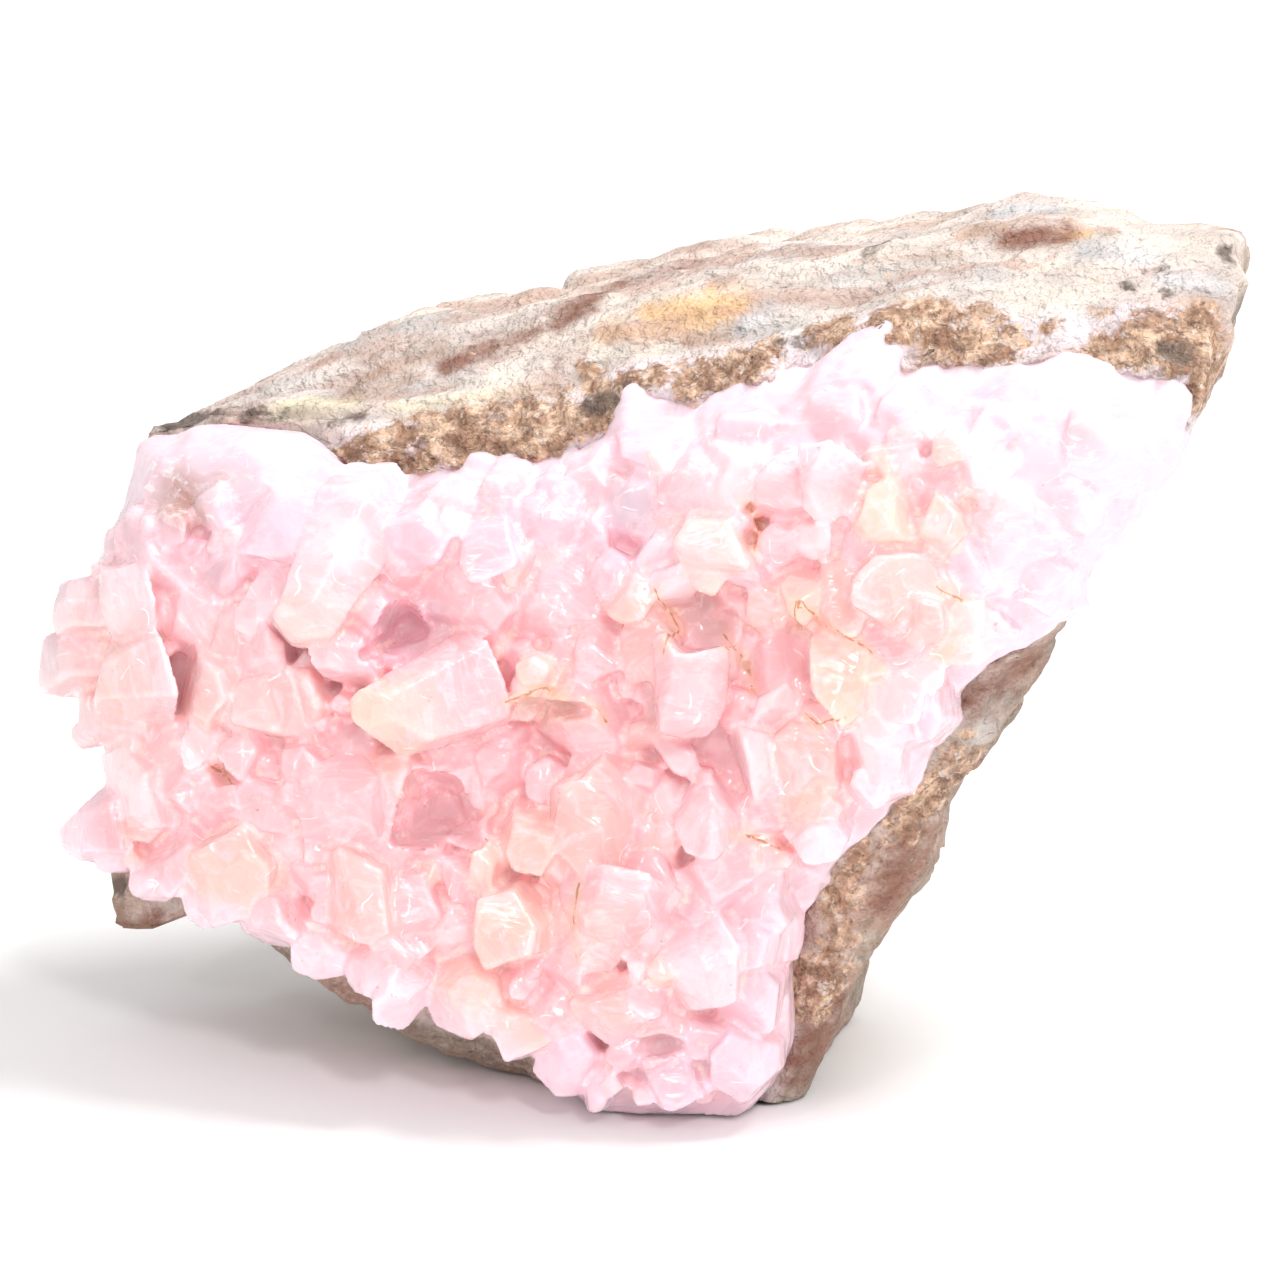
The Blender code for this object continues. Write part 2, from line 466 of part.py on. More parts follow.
def make_crust(collection, growth):
    item = make_crust_body(collection)
    lumps = [(u, v, rise, 0, 0, *rest) for u, v, rise, *rest in LUMPS]
    for index, row in enumerate(CRYSTALS + small_crystals()):
        make_crystal(index, row, CRYSTAL_SLOPES, growth)
    for index, row in enumerate(lumps, start=len(growth.objects)):
        make_crystal(index, row, LUMP_SLOPES, growth)
    points = read_points(join_all(item, growth))
    points[:, 2] += bend(points[:, 0])
    material = new_material("pink_calcite", (0.90, 0.45, 0.47), 0.3)
    finish_mesh(item, to_world(points), material)
    return item


def rock_points(turn, depth, share):
    """World places on the rock, from the angle, the depth and the share of the outline."""
    depths = np.array([level for level, _ in ROCK_LEVELS])
    reaches = np.array([outline_radius(outline, turn) for _, outline in ROCK_LEVELS])
    reach = np.array(
        [np.interp(-depth[i], -depths, reaches[:, i]) for i in range(len(turn))]
    )
    inside = share * reach
    u = FACE_CENTRE[0] + inside * np.cos(turn)
    v = FACE_CENTRE[1] + inside * np.sin(turn)
    back = ease(-ROCK_BACK - 1, -ROCK_BACK + 1, -depth) * (1 - share**2)
    h = depth - ROCK_BULGE * back
    front = ease(ROCK_BACK, CRUST_BACK - GAP, h)
    points = to_world(np.stack([u, v, h + bend(u) * front], axis=1))

    core = np.array(ROCK_CORE)
    arms = points - core
    for looks, distance in ROCK_BREAKS:
        along = arms @ (np.array(looks) / np.linalg.norm(looks))
        arms *= np.where(along > distance, distance / np.maximum(along, 1e-6), 1)[:, None]
    loose = ease(GAP - CRUST_BACK, GAP - CRUST_BACK + 2.5, -depth)
    bumps = COARSE_BUMPS[1] * rough(arms, COARSE_BUMPS[0], SEED + 5)
    bumps += FINE_BUMPS[1] * rough(arms, FINE_BUMPS[0], SEED + 9)
    ledge = np.abs(lattice_noise(arms / LEDGE_SIZE, SEED + 14)) / LEDGE_WIDTH
    bumps += 0.2 - LEDGE_DEPTH * np.exp(-(ledge**2))
    wander = SEAM_WANDER[1] * lattice_noise(arms / SEAM_WANDER[0], SEED + 20)
    seam = SEAM_START[1] + SEAM_SLANT * (u - SEAM_START[0]) + wander
    on_top = ease(36, 40, v) * ease(-6, 0, -u)
    bumps -= SEAM_DEPTH * on_top * np.exp(-(((h - seam) / SEAM_HALF_WIDTH) ** 2))
    lengths = np.linalg.norm(arms, axis=1)[:, None]
    arms *= 1 + (loose * bumps)[:, None] / np.maximum(lengths, 1)
    return core + arms


def make_rock(collection):
    """The host rock: flat where the crust grows, ledged and broken on all other sides.

    From the pole in front, the first rings lie flat behind the crust and turn its edge, the
    next run back along the wall and the last close the back.
    """
    around, rings = 60, 28
    flat_rings, wall_rings = 4, 19
    item, turn, ring = ball("host_rock", around, rings, collection)
    crust = outline_radius(CRUST_OUTLINE, turn) - 0.4
    reach = outline_radius(ROCK_LEVELS[0][1], turn)
    crust = np.minimum(crust, reach - 0.8) / reach
    front_share = np.interp(ring, (0, 2, 3, 4), (0, 1, 1, 1)) * crust
    front_share = np.where(ring == 3, (1 + crust) / 2, front_share)
    wall = np.clip((ring - flat_rings) / (wall_rings - flat_rings), 0, 1)
    depth = (CRUST_BACK - GAP) + (ROCK_BACK - CRUST_BACK + GAP) * wall
    back_share = np.clip((rings - ring) / (rings - wall_rings), 0, 1)
    share = np.where(ring < flat_rings, front_share, back_share)
    depth = np.where(ring > wall_rings, ROCK_BACK - 1.5, depth)
    depth = np.where(ring == 3, depth - 0.5, np.where(ring == 4, depth - 1.4, depth))
    points = rock_points(turn, depth, share)
    material = new_material("host_rock", (0.52, 0.42, 0.35), 0.8)
    finish_mesh(item, points, material)
    return item


def main():
    clear_scene()
    specimen = new_collection("cobaltoan_calcite")
    growth = new_collection("crystals_to_join")
    growth.hide_render = True
    make_rock(specimen)
    make_crust(specimen, growth)
    for helper in growth.objects:
        helper.hide_render = True
        helper.display_type = "WIRE"


main()
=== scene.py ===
"""Cobaltoan calcite: a crust of pink crystals on a piece of broken, iron-stained rock.

The crust lies along one face of the rock. Places on that face are given in millimetres: u runs
to the right, v runs up the face and h stands out of it. Colours are linear red, green, blue.
"""

import itertools
import json
import logging
import math
import random
from dataclasses import dataclass, replace
from enum import Enum

import bmesh
import bpy
import numpy as np
from bpy.types import Collection, Material, Mesh, Node, NodeSocket, NodeTree, Object
from mathutils import Matrix, Vector

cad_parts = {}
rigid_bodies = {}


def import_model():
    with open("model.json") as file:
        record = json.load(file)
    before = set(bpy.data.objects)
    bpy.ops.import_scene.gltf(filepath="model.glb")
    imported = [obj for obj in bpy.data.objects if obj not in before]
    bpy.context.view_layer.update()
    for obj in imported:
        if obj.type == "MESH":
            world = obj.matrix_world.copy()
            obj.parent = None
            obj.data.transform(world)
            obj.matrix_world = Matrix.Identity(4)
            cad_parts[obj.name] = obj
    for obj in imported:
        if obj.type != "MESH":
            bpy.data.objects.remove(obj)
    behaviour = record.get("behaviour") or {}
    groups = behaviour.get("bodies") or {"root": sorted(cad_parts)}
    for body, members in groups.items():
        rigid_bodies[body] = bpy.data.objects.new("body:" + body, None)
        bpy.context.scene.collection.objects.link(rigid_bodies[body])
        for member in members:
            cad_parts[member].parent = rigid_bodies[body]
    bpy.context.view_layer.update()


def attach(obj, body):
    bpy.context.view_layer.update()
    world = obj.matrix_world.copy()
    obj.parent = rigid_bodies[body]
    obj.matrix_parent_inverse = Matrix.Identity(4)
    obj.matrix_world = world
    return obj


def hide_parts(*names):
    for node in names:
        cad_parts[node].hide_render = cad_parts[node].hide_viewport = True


Array = np.ndarray
Colour = tuple[float, float, float]
Place = tuple[float, float, float]
Row = tuple[float, ...]
Outline = tuple[tuple[float, float], ...]
Socket = NodeSocket
Input = Socket | float | tuple

MM = 0.001
# Further away than any place on the specimen, in millimetres.
FAR = 99.0
SEED = 11

log = logging.getLogger("calcite")


# Outline of the crust as (u, v), from the upper left corner clockwise.
CRUST_OUTLINE = (
    (-35.5, 38.3), (-29.5, 39.4), (-24.5, 39.3), (-23, 37.4), (-20, 36.2), (-17, 37.8),
    (-13, 38.8), (-8, 39.3), (-5.5, 41), (-4, 43.3), (1, 43), (3, 44.3),
    (7, 45.3), (9.5, 47.5), (11.5, 48), (13, 45.6), (18.5, 45.6), (22, 46.8),
    (26, 46.2), (29.5, 46), (30.8, 44.6), (29.8, 42), (28.6, 39.4), (26.8, 36.8),
    (24.8, 34.3), (23.2, 31.4), (21.2, 29.2), (18.8, 28), (17.2, 26.2), (15.8, 23.5),
    (15, 20.6), (13, 19), (11.8, 17), (10, 15.6), (8.8, 13.4), (7.4, 11),
    (7.2, 8), (7.6, 4), (6.4, 1), (4.2, -1.2), (-3.5, -1.4), (-6.5, 0.6),
    (-9.2, 2.8), (-12, 4), (-16, 5.4), (-20, 7), (-24, 8.4), (-28, 10),
    (-32.5, 11), (-36.6, 12), (-38.6, 13.8), (-37.4, 16.6), (-37.2, 19.6), (-39.6, 22.2),
    (-40.2, 26.6), (-38.8, 30.2), (-36.8, 34.4),
)

# Outline of the rock at four depths, each clockwise from the upper left corner.
ROCK_LEVELS = (
    (-6.3, (
        (-36.4, 39), (-30, 40.4), (-25, 40.8), (-20, 41), (-14, 41.8),
        (-9, 43), (-4.5, 45.4), (0.5, 46.6), (6, 47.8), (11, 49.4), (15, 50),
        (20, 50.4), (25, 50.8), (29.5, 51.4), (32, 51.2), (32.3, 48.4), (31.4, 44.8),
        (28.6, 39.6), (25, 34.6), (23.4, 31.4), (21, 27.8), (18.8, 23.6), (16.2, 19.8),
        (15.2, 16), (13.6, 13), (12.2, 10), (10.8, 6.6), (9.2, 3.4), (8, 1),
        (6, -2), (-7.4, -2), (-9.6, 0.4), (-13, 1.4), (-16.2, 2), (-20, 4),
        (-24, 5.6), (-27.4, 8.6), (-32.2, 9), (-34, 7.2), (-38.6, 6.6), (-40.2, 10),
        (-41, 15), (-40.2, 18.8), (-40.6, 23), (-40, 28), (-38.8, 33),
    )),
    (-13, (
        (-37.6, 38.6), (-31.6, 40.8), (-26, 43.4), (-20, 45.6), (-14, 46.8),
        (-8, 48.6), (-1, 50.2), (6, 51.6), (12, 52.8), (18, 53.8), (24, 53.8),
        (31.4, 54.2), (31.8, 50.6), (30.6, 46.8), (28.4, 42.6), (25, 37.6), (22.8, 33.4),
        (20.6, 28), (18.4, 22.4), (15.2, 19.2), (14.4, 14.2), (11.5, 10.2), (10, 5.8),
        (8.4, 2.4), (6.6, -1.6), (-9, -1.6), (-12, 0.6), (-16, 2), (-20, 4.2),
        (-25, 6.8), (-31, 8.4), (-37.6, 7.4), (-39.2, 13), (-39.4, 19), (-39.8, 25),
        (-39, 32),
    )),
    (-24, (
        (-37.4, 38.2), (-35.2, 39.6), (-31, 42.6), (-27.4, 44.2), (-23.4, 46.5),
        (-16, 48.2), (-12.2, 50), (-4, 51.3), (1.8, 52.5), (9, 54.3), (12, 54.4),
        (17.6, 57.1), (21, 57), (26, 56), (31.2, 54.9), (30.4, 49), (28.6, 43.4),
        (24.8, 37.4), (21.6, 32.4), (19, 27.2), (16.7, 21.3), (13.4, 17.9), (12.6, 12.7),
        (9.6, 8.7), (7.9, 4.1), (6.4, 1), (-12, 1.6), (-17, 4.4), (-22, 7.2),
        (-28, 10.4), (-33.6, 14.2), (-37, 20), (-39, 27), (-38.8, 34),
    )),
    (-31, (
        (-32, 36.4), (-26, 41.4), (-18, 45.6), (-9, 48.6), (0, 50.2), (9, 51.6),
        (17, 52.2), (24, 51), (25.8, 47), (23.6, 40.4), (19.6, 33), (16, 25.8),
        (12.8, 19), (9.6, 12.4), (7.2, 7.4), (5, 3.2), (-9, 3.2), (-16, 7.6),
        (-23, 12.6), (-29.6, 18.4), (-33.4, 26), (-34, 32),
    )),
)

# Flat broken faces of the rock: the direction each looks to, and its distance from the core.
ROCK_BREAKS = (
    ((0.6, 0.72, -0.35), 17.5), ((-0.45, 0.88, -0.12), 24), ((-0.3, 0.86, 0.41), 25.5),
    ((0.42, 0.86, 0.28), 23.5), ((0.05, 0.93, -0.37), 19.5), ((-0.25, 0.72, -0.65), 28),
)

# Clefts left open between the crystals: the level of the mouth, the level of the floor, and
# the corners of the mouth as (u, v).
CLEFTS = (
    (2, -1, ((-16.5, 31.1), (-13.3, 27.9), (-19.1, 26.1))),
    (1.5, -0.9, ((-15.4, 20), (-12.1, 19.8), (-10.3, 15.4), (-16.4, 15.3))),
    (1, -0.3, ((-0.1, 29.6), (1, 31.6), (4.3, 31.2), (4.7, 28.8), (1.4, 28))),
    (1.5, 0, ((-9.5, 24.1), (-8.4, 24.9), (-4.3, 24.6), (-3.9, 23.8), (-8.8, 22.9))),
    (1.5, 0.2, ((-29, 19.2), (-27.6, 19.8), (-25.4, 18.5), (-27.7, 17.9))),
    (0.8, -0.6, ((-1.6, 4.2), (0.6, 4.9), (3.4, 4.3), (3.1, 3.7), (-0.6, 3.3))),
)

# Iron stains along seams between crystals, as lines of (u, v).
IRON_SEAMS = (
    ((3.5, 29), (4.3, 28.3), (5, 27), (5.2, 26)), ((8.4, 31.5), (9.8, 30.2), (12.4, 28.8)),
    ((8.7, 24.9), (9.5, 24.2), (10.8, 24.6)), ((4.8, 17.3), (7.3, 16.5)),
    ((4.4, 37.4), (5.2, 35.9), (5.3, 34.6)), ((7.9, 31.3), (7.8, 29.4)),
    ((-4.2, 13.7), (-4.5, 11.5), (-4.2, 9.4)), ((-9.2, 24.6), (-7.5, 25.3), (-6.2, 24.8)),
    ((-4.7, 24.9), (-3.6, 23.8)), ((-28.1, 19), (-27, 18.5)), ((10.8, 25.8), (11.2, 25.1)),
    ((16.5, 32.9), (17.3, 32.2)), ((-0.6, 31.5), (0.6, 29.4), (0.4, 28.4)),
)

# Blurred stains on the crust, and painted shade in its clefts and in a groove: u, v, half width,
# half height, colour and strength.
STAINS_AND_CLEFT_SHADE = (
    (-28, 34, 8, 5, (0.94, 0.64, 0.8), 0.5),
    (-4, 34.5, 10, 3, (0.95, 0.66, 0.82), 0.4),
    (3, 2, 9, 4, (0.9, 0.64, 0.75), 0.5),
    (5, 11.5, 5, 4, (0.95, 0.6, 0.71), 0.4),
    (-30, 26, 10, 8, (0.96, 0.68, 0.7), 0.45),
    (-36, 23, 5, 6, (0.97, 0.65, 0.57), 0.4),
    (-31.2, 35.3, 2.3, 1.9, (0.5, 0.28, 0.22), 0.95),
    (-28.9, 36, 1.7, 1.3, (0.62, 0.46, 0.5), 0.7),
    (-2.6, 36.8, 1.6, 1.8, (0.66, 0.55, 0.62), 0.6),
    # Painted shade in a groove.
    (-28.6, 31, 0.8, 1.9, (0.78, 0.5, 0.58), 0.6),
    # Painted shade in the three-sided cleft.
    (-16.3, 28.2, 2.3, 2.2, (0.72, 0.4, 0.52), 0.8),
    (-20.2, 33.8, 1.9, 1.6, (0.97, 0.86, 0.89), 0.8),
    # Painted shade, brown and mauve, in four more clefts.
    (-7, 24, 2.8, 1.1, (0.66, 0.42, 0.3), 0.75),
    (2, 30.2, 2.4, 1.4, (0.7, 0.48, 0.4), 0.7),
    (-13.4, 16.4, 2.8, 1.8, (0.7, 0.4, 0.42), 0.65),
    (1.6, 3.6, 3.4, 1.8, (0.7, 0.52, 0.6), 0.6),
    (20.5, 44.6, 1.6, 0.8, (0.7, 0.48, 0.44), 0.5),
    (24.4, 42.6, 1.3, 0.7, (0.7, 0.5, 0.46), 0.45),
)


class Tint(Enum):
    """Colour that a crystal has at its tip."""

    PINK = (0.95, 0.53, 0.56)
    ROSE = (0.94, 0.46, 0.48)
    SALMON = (0.95, 0.53, 0.49)
    PEACH = (0.96, 0.58, 0.50)
    AMBER = (0.97, 0.65, 0.53)
    WHITE = (0.97, 0.71, 0.73)
    LILAC = (0.93, 0.62, 0.71)


# Crystals: tip u, tip v, rise of the tip, how far the tip leans in u and in v, half width in
# u, half width in v, the turn of the cap in degrees, and the tint.
CRYSTALS = (
    (-22.1, 27.4, 4, -2.8, -7.4, 2.4, 2.5, 30, Tint.PEACH),
    (-17.8, 22.6, 4.4, -6.4, -3.2, 2.6, 2.8, 15, Tint.AMBER),
    (-19.2, 17.2, 4.2, -1.4, -1.4, 3.2, 3, 0, Tint.PINK),
    (-18.4, 11.9, 4.4, -1, -1.4, 2.9, 3, 8, Tint.SALMON),
    (-26.4, 12.2, 3.4, -1.6, -1.6, 3.3, 3.3, 50, Tint.PEACH),
    (-40.2, 27.4, 2.4, -5, -0.6, 2.4, 2.1, 0, Tint.PEACH),
    (-41.4, 24, 1.8, -5.2, -0.8, 2.4, 2.1, 25, Tint.PEACH),
    (-30, 23.6, 3, -2, -1.8, 3.5, 3.5, 80, Tint.PEACH),
    (-24.2, 22, 2.7, -1, -1.4, 2.9, 3.4, 40, Tint.SALMON),
    (-21.5, 23.6, 1.4, -1, -0.8, 1.6, 1.8, 10, Tint.PINK),
    (-34.4, 17, 2.4, -2.4, -1, 3.5, 3.1, 65, Tint.WHITE),
    (-39, 13.6, 1.6, -3.2, -1, 2.6, 2.3, 20, Tint.LILAC),
    (-31.8, 13, 2.4, -1.6, -1.6, 2.7, 2.7, 100, Tint.PINK),
    (-24.9, 16.4, 2.6, -1, -1.2, 2.9, 2.5, 5, Tint.PINK),
    (-25.2, 28.3, 2.4, -1, -1.4, 2.3, 2.9, 70, Tint.WHITE),
    (-25, 33.4, 1.8, -1.4, -1, 3.7, 2.9, 25, Tint.LILAC),
    (-33.8, 31, 2, -2.4, -0.6, 3.9, 3.3, 55, Tint.PINK),
    (-30.6, 27.6, 2, -1.4, -1, 2.4, 2.6, 0, Tint.PINK),
    (-36.6, 28.2, 2.2, -3, -0.6, 2.7, 2.5, 35, Tint.WHITE),
    (-35.4, 23.8, 2.4, -3, -1, 3.3, 3.1, 85, Tint.PEACH),
    (-37.2, 20.6, 1.4, -3, -1, 2.7, 2.2, 10, Tint.SALMON),
    (-13, 30.2, 2.2, -0.8, -1.6, 3.5, 3.5, 90, Tint.PINK),
    (-11.2, 33.2, 2.8, -0.4, -1.4, 2.4, 2.3, 45, Tint.PINK),
    (-7.9, 26.2, 2.8, 0, -0.6, 1.3, 1.5, 0, Tint.AMBER),
    (-7.3, 22.2, 1, -0.6, -0.8, 2.7, 2.6, 60, Tint.ROSE),
    (-10.4, 19.5, 1.6, -0.4, -1, 2, 2.1, 20, Tint.PINK),
    (-7.9, 16.4, 3.4, -0.8, -1.6, 2.8, 3.3, 75, Tint.PEACH),
    (-3.5, 16.8, 3.8, -0.6, -2, 2.8, 3.9, 0, Tint.SALMON),
    (-12.1, 13.3, 2.2, -0.6, -0.8, 1.9, 1.8, 30, Tint.PINK),
    (-8.6, 10.8, 4, -0.8, -1.2, 3, 2.9, 45, Tint.PEACH),
    (-6.9, 14, 2.6, 0, -1, 2.3, 1.9, 90, Tint.SALMON),
    (-2.6, 10.2, 3.2, -0.4, -3.2, 2.7, 2.9, 10, Tint.SALMON),
    (-2.5, 6, 2.6, -0.6, -1.8, 2.6, 2.6, 60, Tint.SALMON),
    (-9.6, 7.5, 1.6, -0.6, -1.2, 2.7, 2.3, 15, Tint.PINK),
    (-17.4, 8, 3.4, -1.6, -2, 4, 3.2, 35, Tint.PINK),
    (-15.4, 4.9, 3, -0.4, -3.2, 1.9, 2, 0, Tint.WHITE),
    (-11.5, 5.6, 3, -0.5, -2, 2.9, 3.2, 70, Tint.PEACH),
    (-8, 3.8, 2.2, -0.6, -2, 2, 2, 25, Tint.PEACH),
    (-24.2, 9.6, 2.8, -1.4, -2, 3.2, 2.7, 95, Tint.PINK),
    (-20.8, 7.6, 2, -0.8, -2, 2.5, 2, 50, Tint.WHITE),
    (-28.2, 10.6, 1.8, -1.2, -1.6, 2.4, 1.9, 5, Tint.WHITE),
    (-5.2, 2.2, 1.4, -0.5, -1, 2.8, 2.7, 40, Tint.LILAC),
    (1, 1.4, 1.2, 0, -0.8, 2.9, 2.3, 80, Tint.LILAC),
    (5.2, 2.8, 1.2, 0.6, -0.6, 2.7, 2.8, 10, Tint.LILAC),
    (3.2, 8.7, 3, 0.2, -1, 2.5, 2.9, 55, Tint.WHITE),
    (5.8, 6.6, 0.4, 0.6, -0.4, 2, 2.4, 0, Tint.LILAC),
    (4.2, 13.9, 1.8, 0.3, -0.8, 4, 3.1, 20, Tint.PINK),
    (3, 17.8, 3, 0, -0.8, 2.1, 2.4, 90, Tint.PINK),
    (0, 16.6, 2, -0.2, -0.8, 1.5, 2.3, 35, Tint.SALMON),
    (2.2, 23.2, 3.8, 0.9, -4.8, 2, 2.4, 60, Tint.PINK),
    (1.8, 21, 1.5, 2.8, -2.6, 1.1, 1.1, 15, Tint.WHITE),
    (-1.6, 26.8, 2.4, -0.4, -2.6, 1.5, 2.7, 70, Tint.SALMON),
    (-4.1, 27.3, 2.2, -0.6, -2, 2, 3.1, 5, Tint.PINK),
    (-2.3, 30.9, 2.6, 0, -0.8, 1.9, 1.7, 45, Tint.PEACH),
    (2.6, 34.1, 3.2, 0.2, -1, 2.7, 2.4, 85, Tint.AMBER),
    (3, 38.2, 2, 0.4, -1.2, 2.5, 2.3, 25, Tint.WHITE),
    (6.6, 37.6, 2.2, 0, -1.4, 2, 2.4, 65, Tint.PINK),
    (9.4, 37, 3.2, -0.2, -3.2, 1.8, 2, 0, Tint.WHITE),
    (13.2, 36.4, 2.8, 0, -1, 2.2, 2.4, 35, Tint.AMBER),
    (16.2, 36, 2, 0.2, -1, 1.7, 2.5, 75, Tint.PEACH),
    (8.6, 35, 2.4, -0.2, -1.2, 1.9, 1.8, 10, Tint.WHITE),
    (6.2, 31.6, 1.8, 0, -1.2, 1.8, 3.3, 50, Tint.SALMON),
    (10.5, 31.4, 2.4, 0.2, -1.4, 2.2, 2.9, 95, Tint.SALMON),
    (14.3, 32, 3.2, 0.3, -1.6, 2.7, 2.8, 20, Tint.SALMON),
    (11, 27.4, 2.6, 0.3, -1.6, 2.4, 3.1, 60, Tint.AMBER),
    (6.2, 26.8, 0.6, 0, -1, 2.5, 3.3, 0, Tint.PINK),
    (13.9, 27, 1.8, 0.6, -1.2, 2.5, 2.9, 40, Tint.WHITE),
    (17.4, 30, 1.4, 0.6, -0.8, 2.3, 2.6, 80, Tint.AMBER),
    (8.6, 21.6, 1.8, 0.2, -1, 2.7, 2.9, 15, Tint.SALMON),
    (12.4, 22, 1.2, 0.6, -0.8, 2.5, 2.5, 55, Tint.WHITE),
    (9.8, 16.9, 2.2, 0.8, -1.2, 2.6, 1.6, 30, Tint.WHITE),
    (7, 18.7, 1.2, 0.4, -0.8, 2.3, 1.7, 90, Tint.PINK),
    (13.9, 41.2, 0.8, 0, -0.6, 1.4, 1.5, 0, Tint.WHITE),
    (16.3, 40.9, 1.4, 0, -0.6, 1.1, 1.3, 45, Tint.PEACH),
    (18.7, 40, 1.2, 0.4, -1.2, 1.9, 2.3, 70, Tint.WHITE),
    (20.4, 37.4, 0.8, 0.3, -0.8, 1.7, 2.1, 25, Tint.WHITE),
    (18.4, 34, 1, 0.4, -1, 1.9, 2.4, 5, Tint.LILAC),
    (-6, 31.2, 1.2, -0.4, -0.8, 2.6, 2.4, 35, Tint.PINK),
    (-8.4, 29.2, 1, -0.4, -0.8, 1.9, 2.2, 80, Tint.PINK),
    (-7, 34.6, 0.8, -0.4, -0.8, 2.6, 2.2, 10, Tint.PINK),
    (-16.4, 33.4, 1.6, -0.6, -1.8, 2.6, 1.8, 55, Tint.LILAC),
    (-2.6, 36.6, 0.6, 0, -0.8, 2.1, 2.6, 20, Tint.LILAC),
)

# Low broken lumps on the massive bands: u, v, rise, half width, half height and turn.
LUMPS = (
    (-31.4, 35.2, 0, 3.2, 2.4, 20), (-26.6, 35.8, -0.1, 2.8, 2, 65),
    (-12.4, 35.4, 0.1, 3, 1.7, 40), (-7.6, 36.6, 0, 2.4, 1.8, 75),
    (-1.4, 40, 0.1, 2.9, 2, 15), (4.4, 41.2, 0.2, 2.6, 1.8, 50),
    (9.2, 42.6, 0.1, 2.6, 2.3, 35), (13, 42.8, -0.1, 1.9, 2, 60),
    (18, 42.4, 0.1, 3, 1.8, 25), (23.8, 41.6, 0, 3.2, 2.4, 80),
    (23, 37.4, 0.3, 2.6, 2.8, 10), (22, 33.4, 0.1, 2.2, 2.4, 55),
    (19.2, 30.4, 0.2, 2, 1.8, 30), (15.2, 25.4, 0.2, 1.9, 2.2, 70),
    (12.8, 20.8, 0.1, 1.8, 1.8, 5),
)


@dataclass(frozen=True)
class FaceFrame:
    """The face that the crystals grow on, and where it stands in the world.

    Its left end is bent back: by the rate times the square of the distance past the start.
    """

    turn: float = math.radians(12.0)
    lean: float = math.radians(12.0)
    origin: Place = (0.965, -19.96, 1.4)
    centre: tuple[float, float] = (-2.0, 27.0)
    bend_start: float = -22.0
    bend_rate: float = 0.022

    def matrix(self) -> Array:
        """The matrix that takes u, v, h to the world, in millimetres.

        Returns:
            Four rows and columns: the directions of u, v and h, and then the origin.
        """
        across = Vector((math.cos(self.turn), -math.sin(self.turn), 0))
        ahead = Vector((-math.sin(self.turn), -math.cos(self.turn), 0))
        lift = Vector((0, 0, 1))
        out = ahead * math.cos(self.lean) + lift * math.sin(self.lean)
        up = lift * math.cos(self.lean) - ahead * math.sin(self.lean)
        turned = Matrix((across, up, out)).transposed().to_4x4()
        return np.array(Matrix.Translation(self.origin) @ turned)

    def to_world(self, points: Array) -> Array:
        """World places, in millimetres, of rows of u, v, h."""
        matrix = self.matrix()
        return points @ matrix[:3, :3].T + matrix[:3, 3]

    def to_face(self, points: Array) -> Array:
        """Rows of u, v, h of world places in millimetres."""
        matrix = self.matrix()
        return (points - matrix[:3, 3]) @ matrix[:3, :3]

    def bend(self, u: Array) -> Array:
        """How far the face is bent back at each u."""
        return -self.bend_rate * np.clip(self.bend_start - u, 0, None) ** 2

    def polar(self, places: Array) -> tuple[Array, Array]:
        """The angle and the distance of each row's u, v round the middle of the face."""
        arms = places[:, :2] - self.centre
        return np.arctan2(arms[:, 1], arms[:, 0]), np.linalg.norm(arms, axis=1)


FACE = FaceFrame()


def hashed(*whole: Array) -> Array:
    """A random value from 0 to 1 for each row of whole numbers.

    Each column is multiplied by a large number of its own, and the bits of the sum are mixed.

    Args:
        whole: Up to four columns of whole numbers.

    Returns:
        One value for each row.
    """
    steps = (73856093, 19349663, 83492791, 2654435)
    key = sum(part.astype(np.int64) * step for part, step in zip(whole, steps))
    key = ((key ^ (key >> 13)) * 1274126177) & 0xFFFFFFFF
    return ((key ^ (key >> 16)) & 0xFFFF) / 65535.0


def lattice_noise(points: Array, seed: int) -> Array:
    """Smooth random values from -1 to 1: a blend of random values at the corners of cells.

    Args:
        points: Rows of three coordinates, in cells.
        seed: Chooses the pattern.

    Returns:
        One value for each row.
    """
    cell = np.floor(points).astype(np.int64)
    part = points - cell
    part = part * part * (3 - 2 * part)
    total = np.zeros(len(points))
    for corner in itertools.product((0, 1), repeat=3):
        value = 2 * hashed(*(cell + corner).T, np.full(len(points), seed)) - 1
        total += np.where(corner, part, 1 - part).prod(axis=1) * value
    return total


def rough(points: Array, size: float, seed: int, layers: int = 3) -> Array:
    """Layers of noise, each half as wide and half as strong as the last, from -1 to 1."""
    total = sum(lattice_noise(points / size * 2**k, seed + k) / 2**k for k in range(layers))
    return total / (2 - 0.5 ** (layers - 1))


def ease(low: float, high: float, values: Array) -> Array:
    """0 below low, 1 above high and a smooth step between them."""
    part = np.clip((values - low) / (high - low), 0, 1)
    return part * part * (3 - 2 * part)


def outline_radius(outline: Outline, angles: Array) -> Array:
    """Distance from the middle of the face to an outline.

    A ray at each angle is met with every side of the outline, and the furthest meeting
    counts.

    Args:
        outline: Corners as (u, v).
        angles: Angles round the middle of the face, in radians.

    Returns:
        One distance for each angle.
    """
    points = np.array(outline) - FACE.centre
    sides = np.roll(points, -1, axis=0) - points
    rays = np.stack([np.cos(angles), np.sin(angles)], axis=1)[:, None]
    across = rays[..., 0] * sides[:, 1] - rays[..., 1] * sides[:, 0]
    across = np.where(np.abs(across) < 1e-9, 1e-9, across)
    reach = (points[:, 0] * sides[:, 1] - points[:, 1] * sides[:, 0]) / across
    place = (points[:, 0] * rays[..., 1] - points[:, 1] * rays[..., 0]) / across
    met = (reach > 0) & (place > -1e-6) & (place < 1 + 1e-6)
    return np.where(met, reach, 0).max(axis=1)


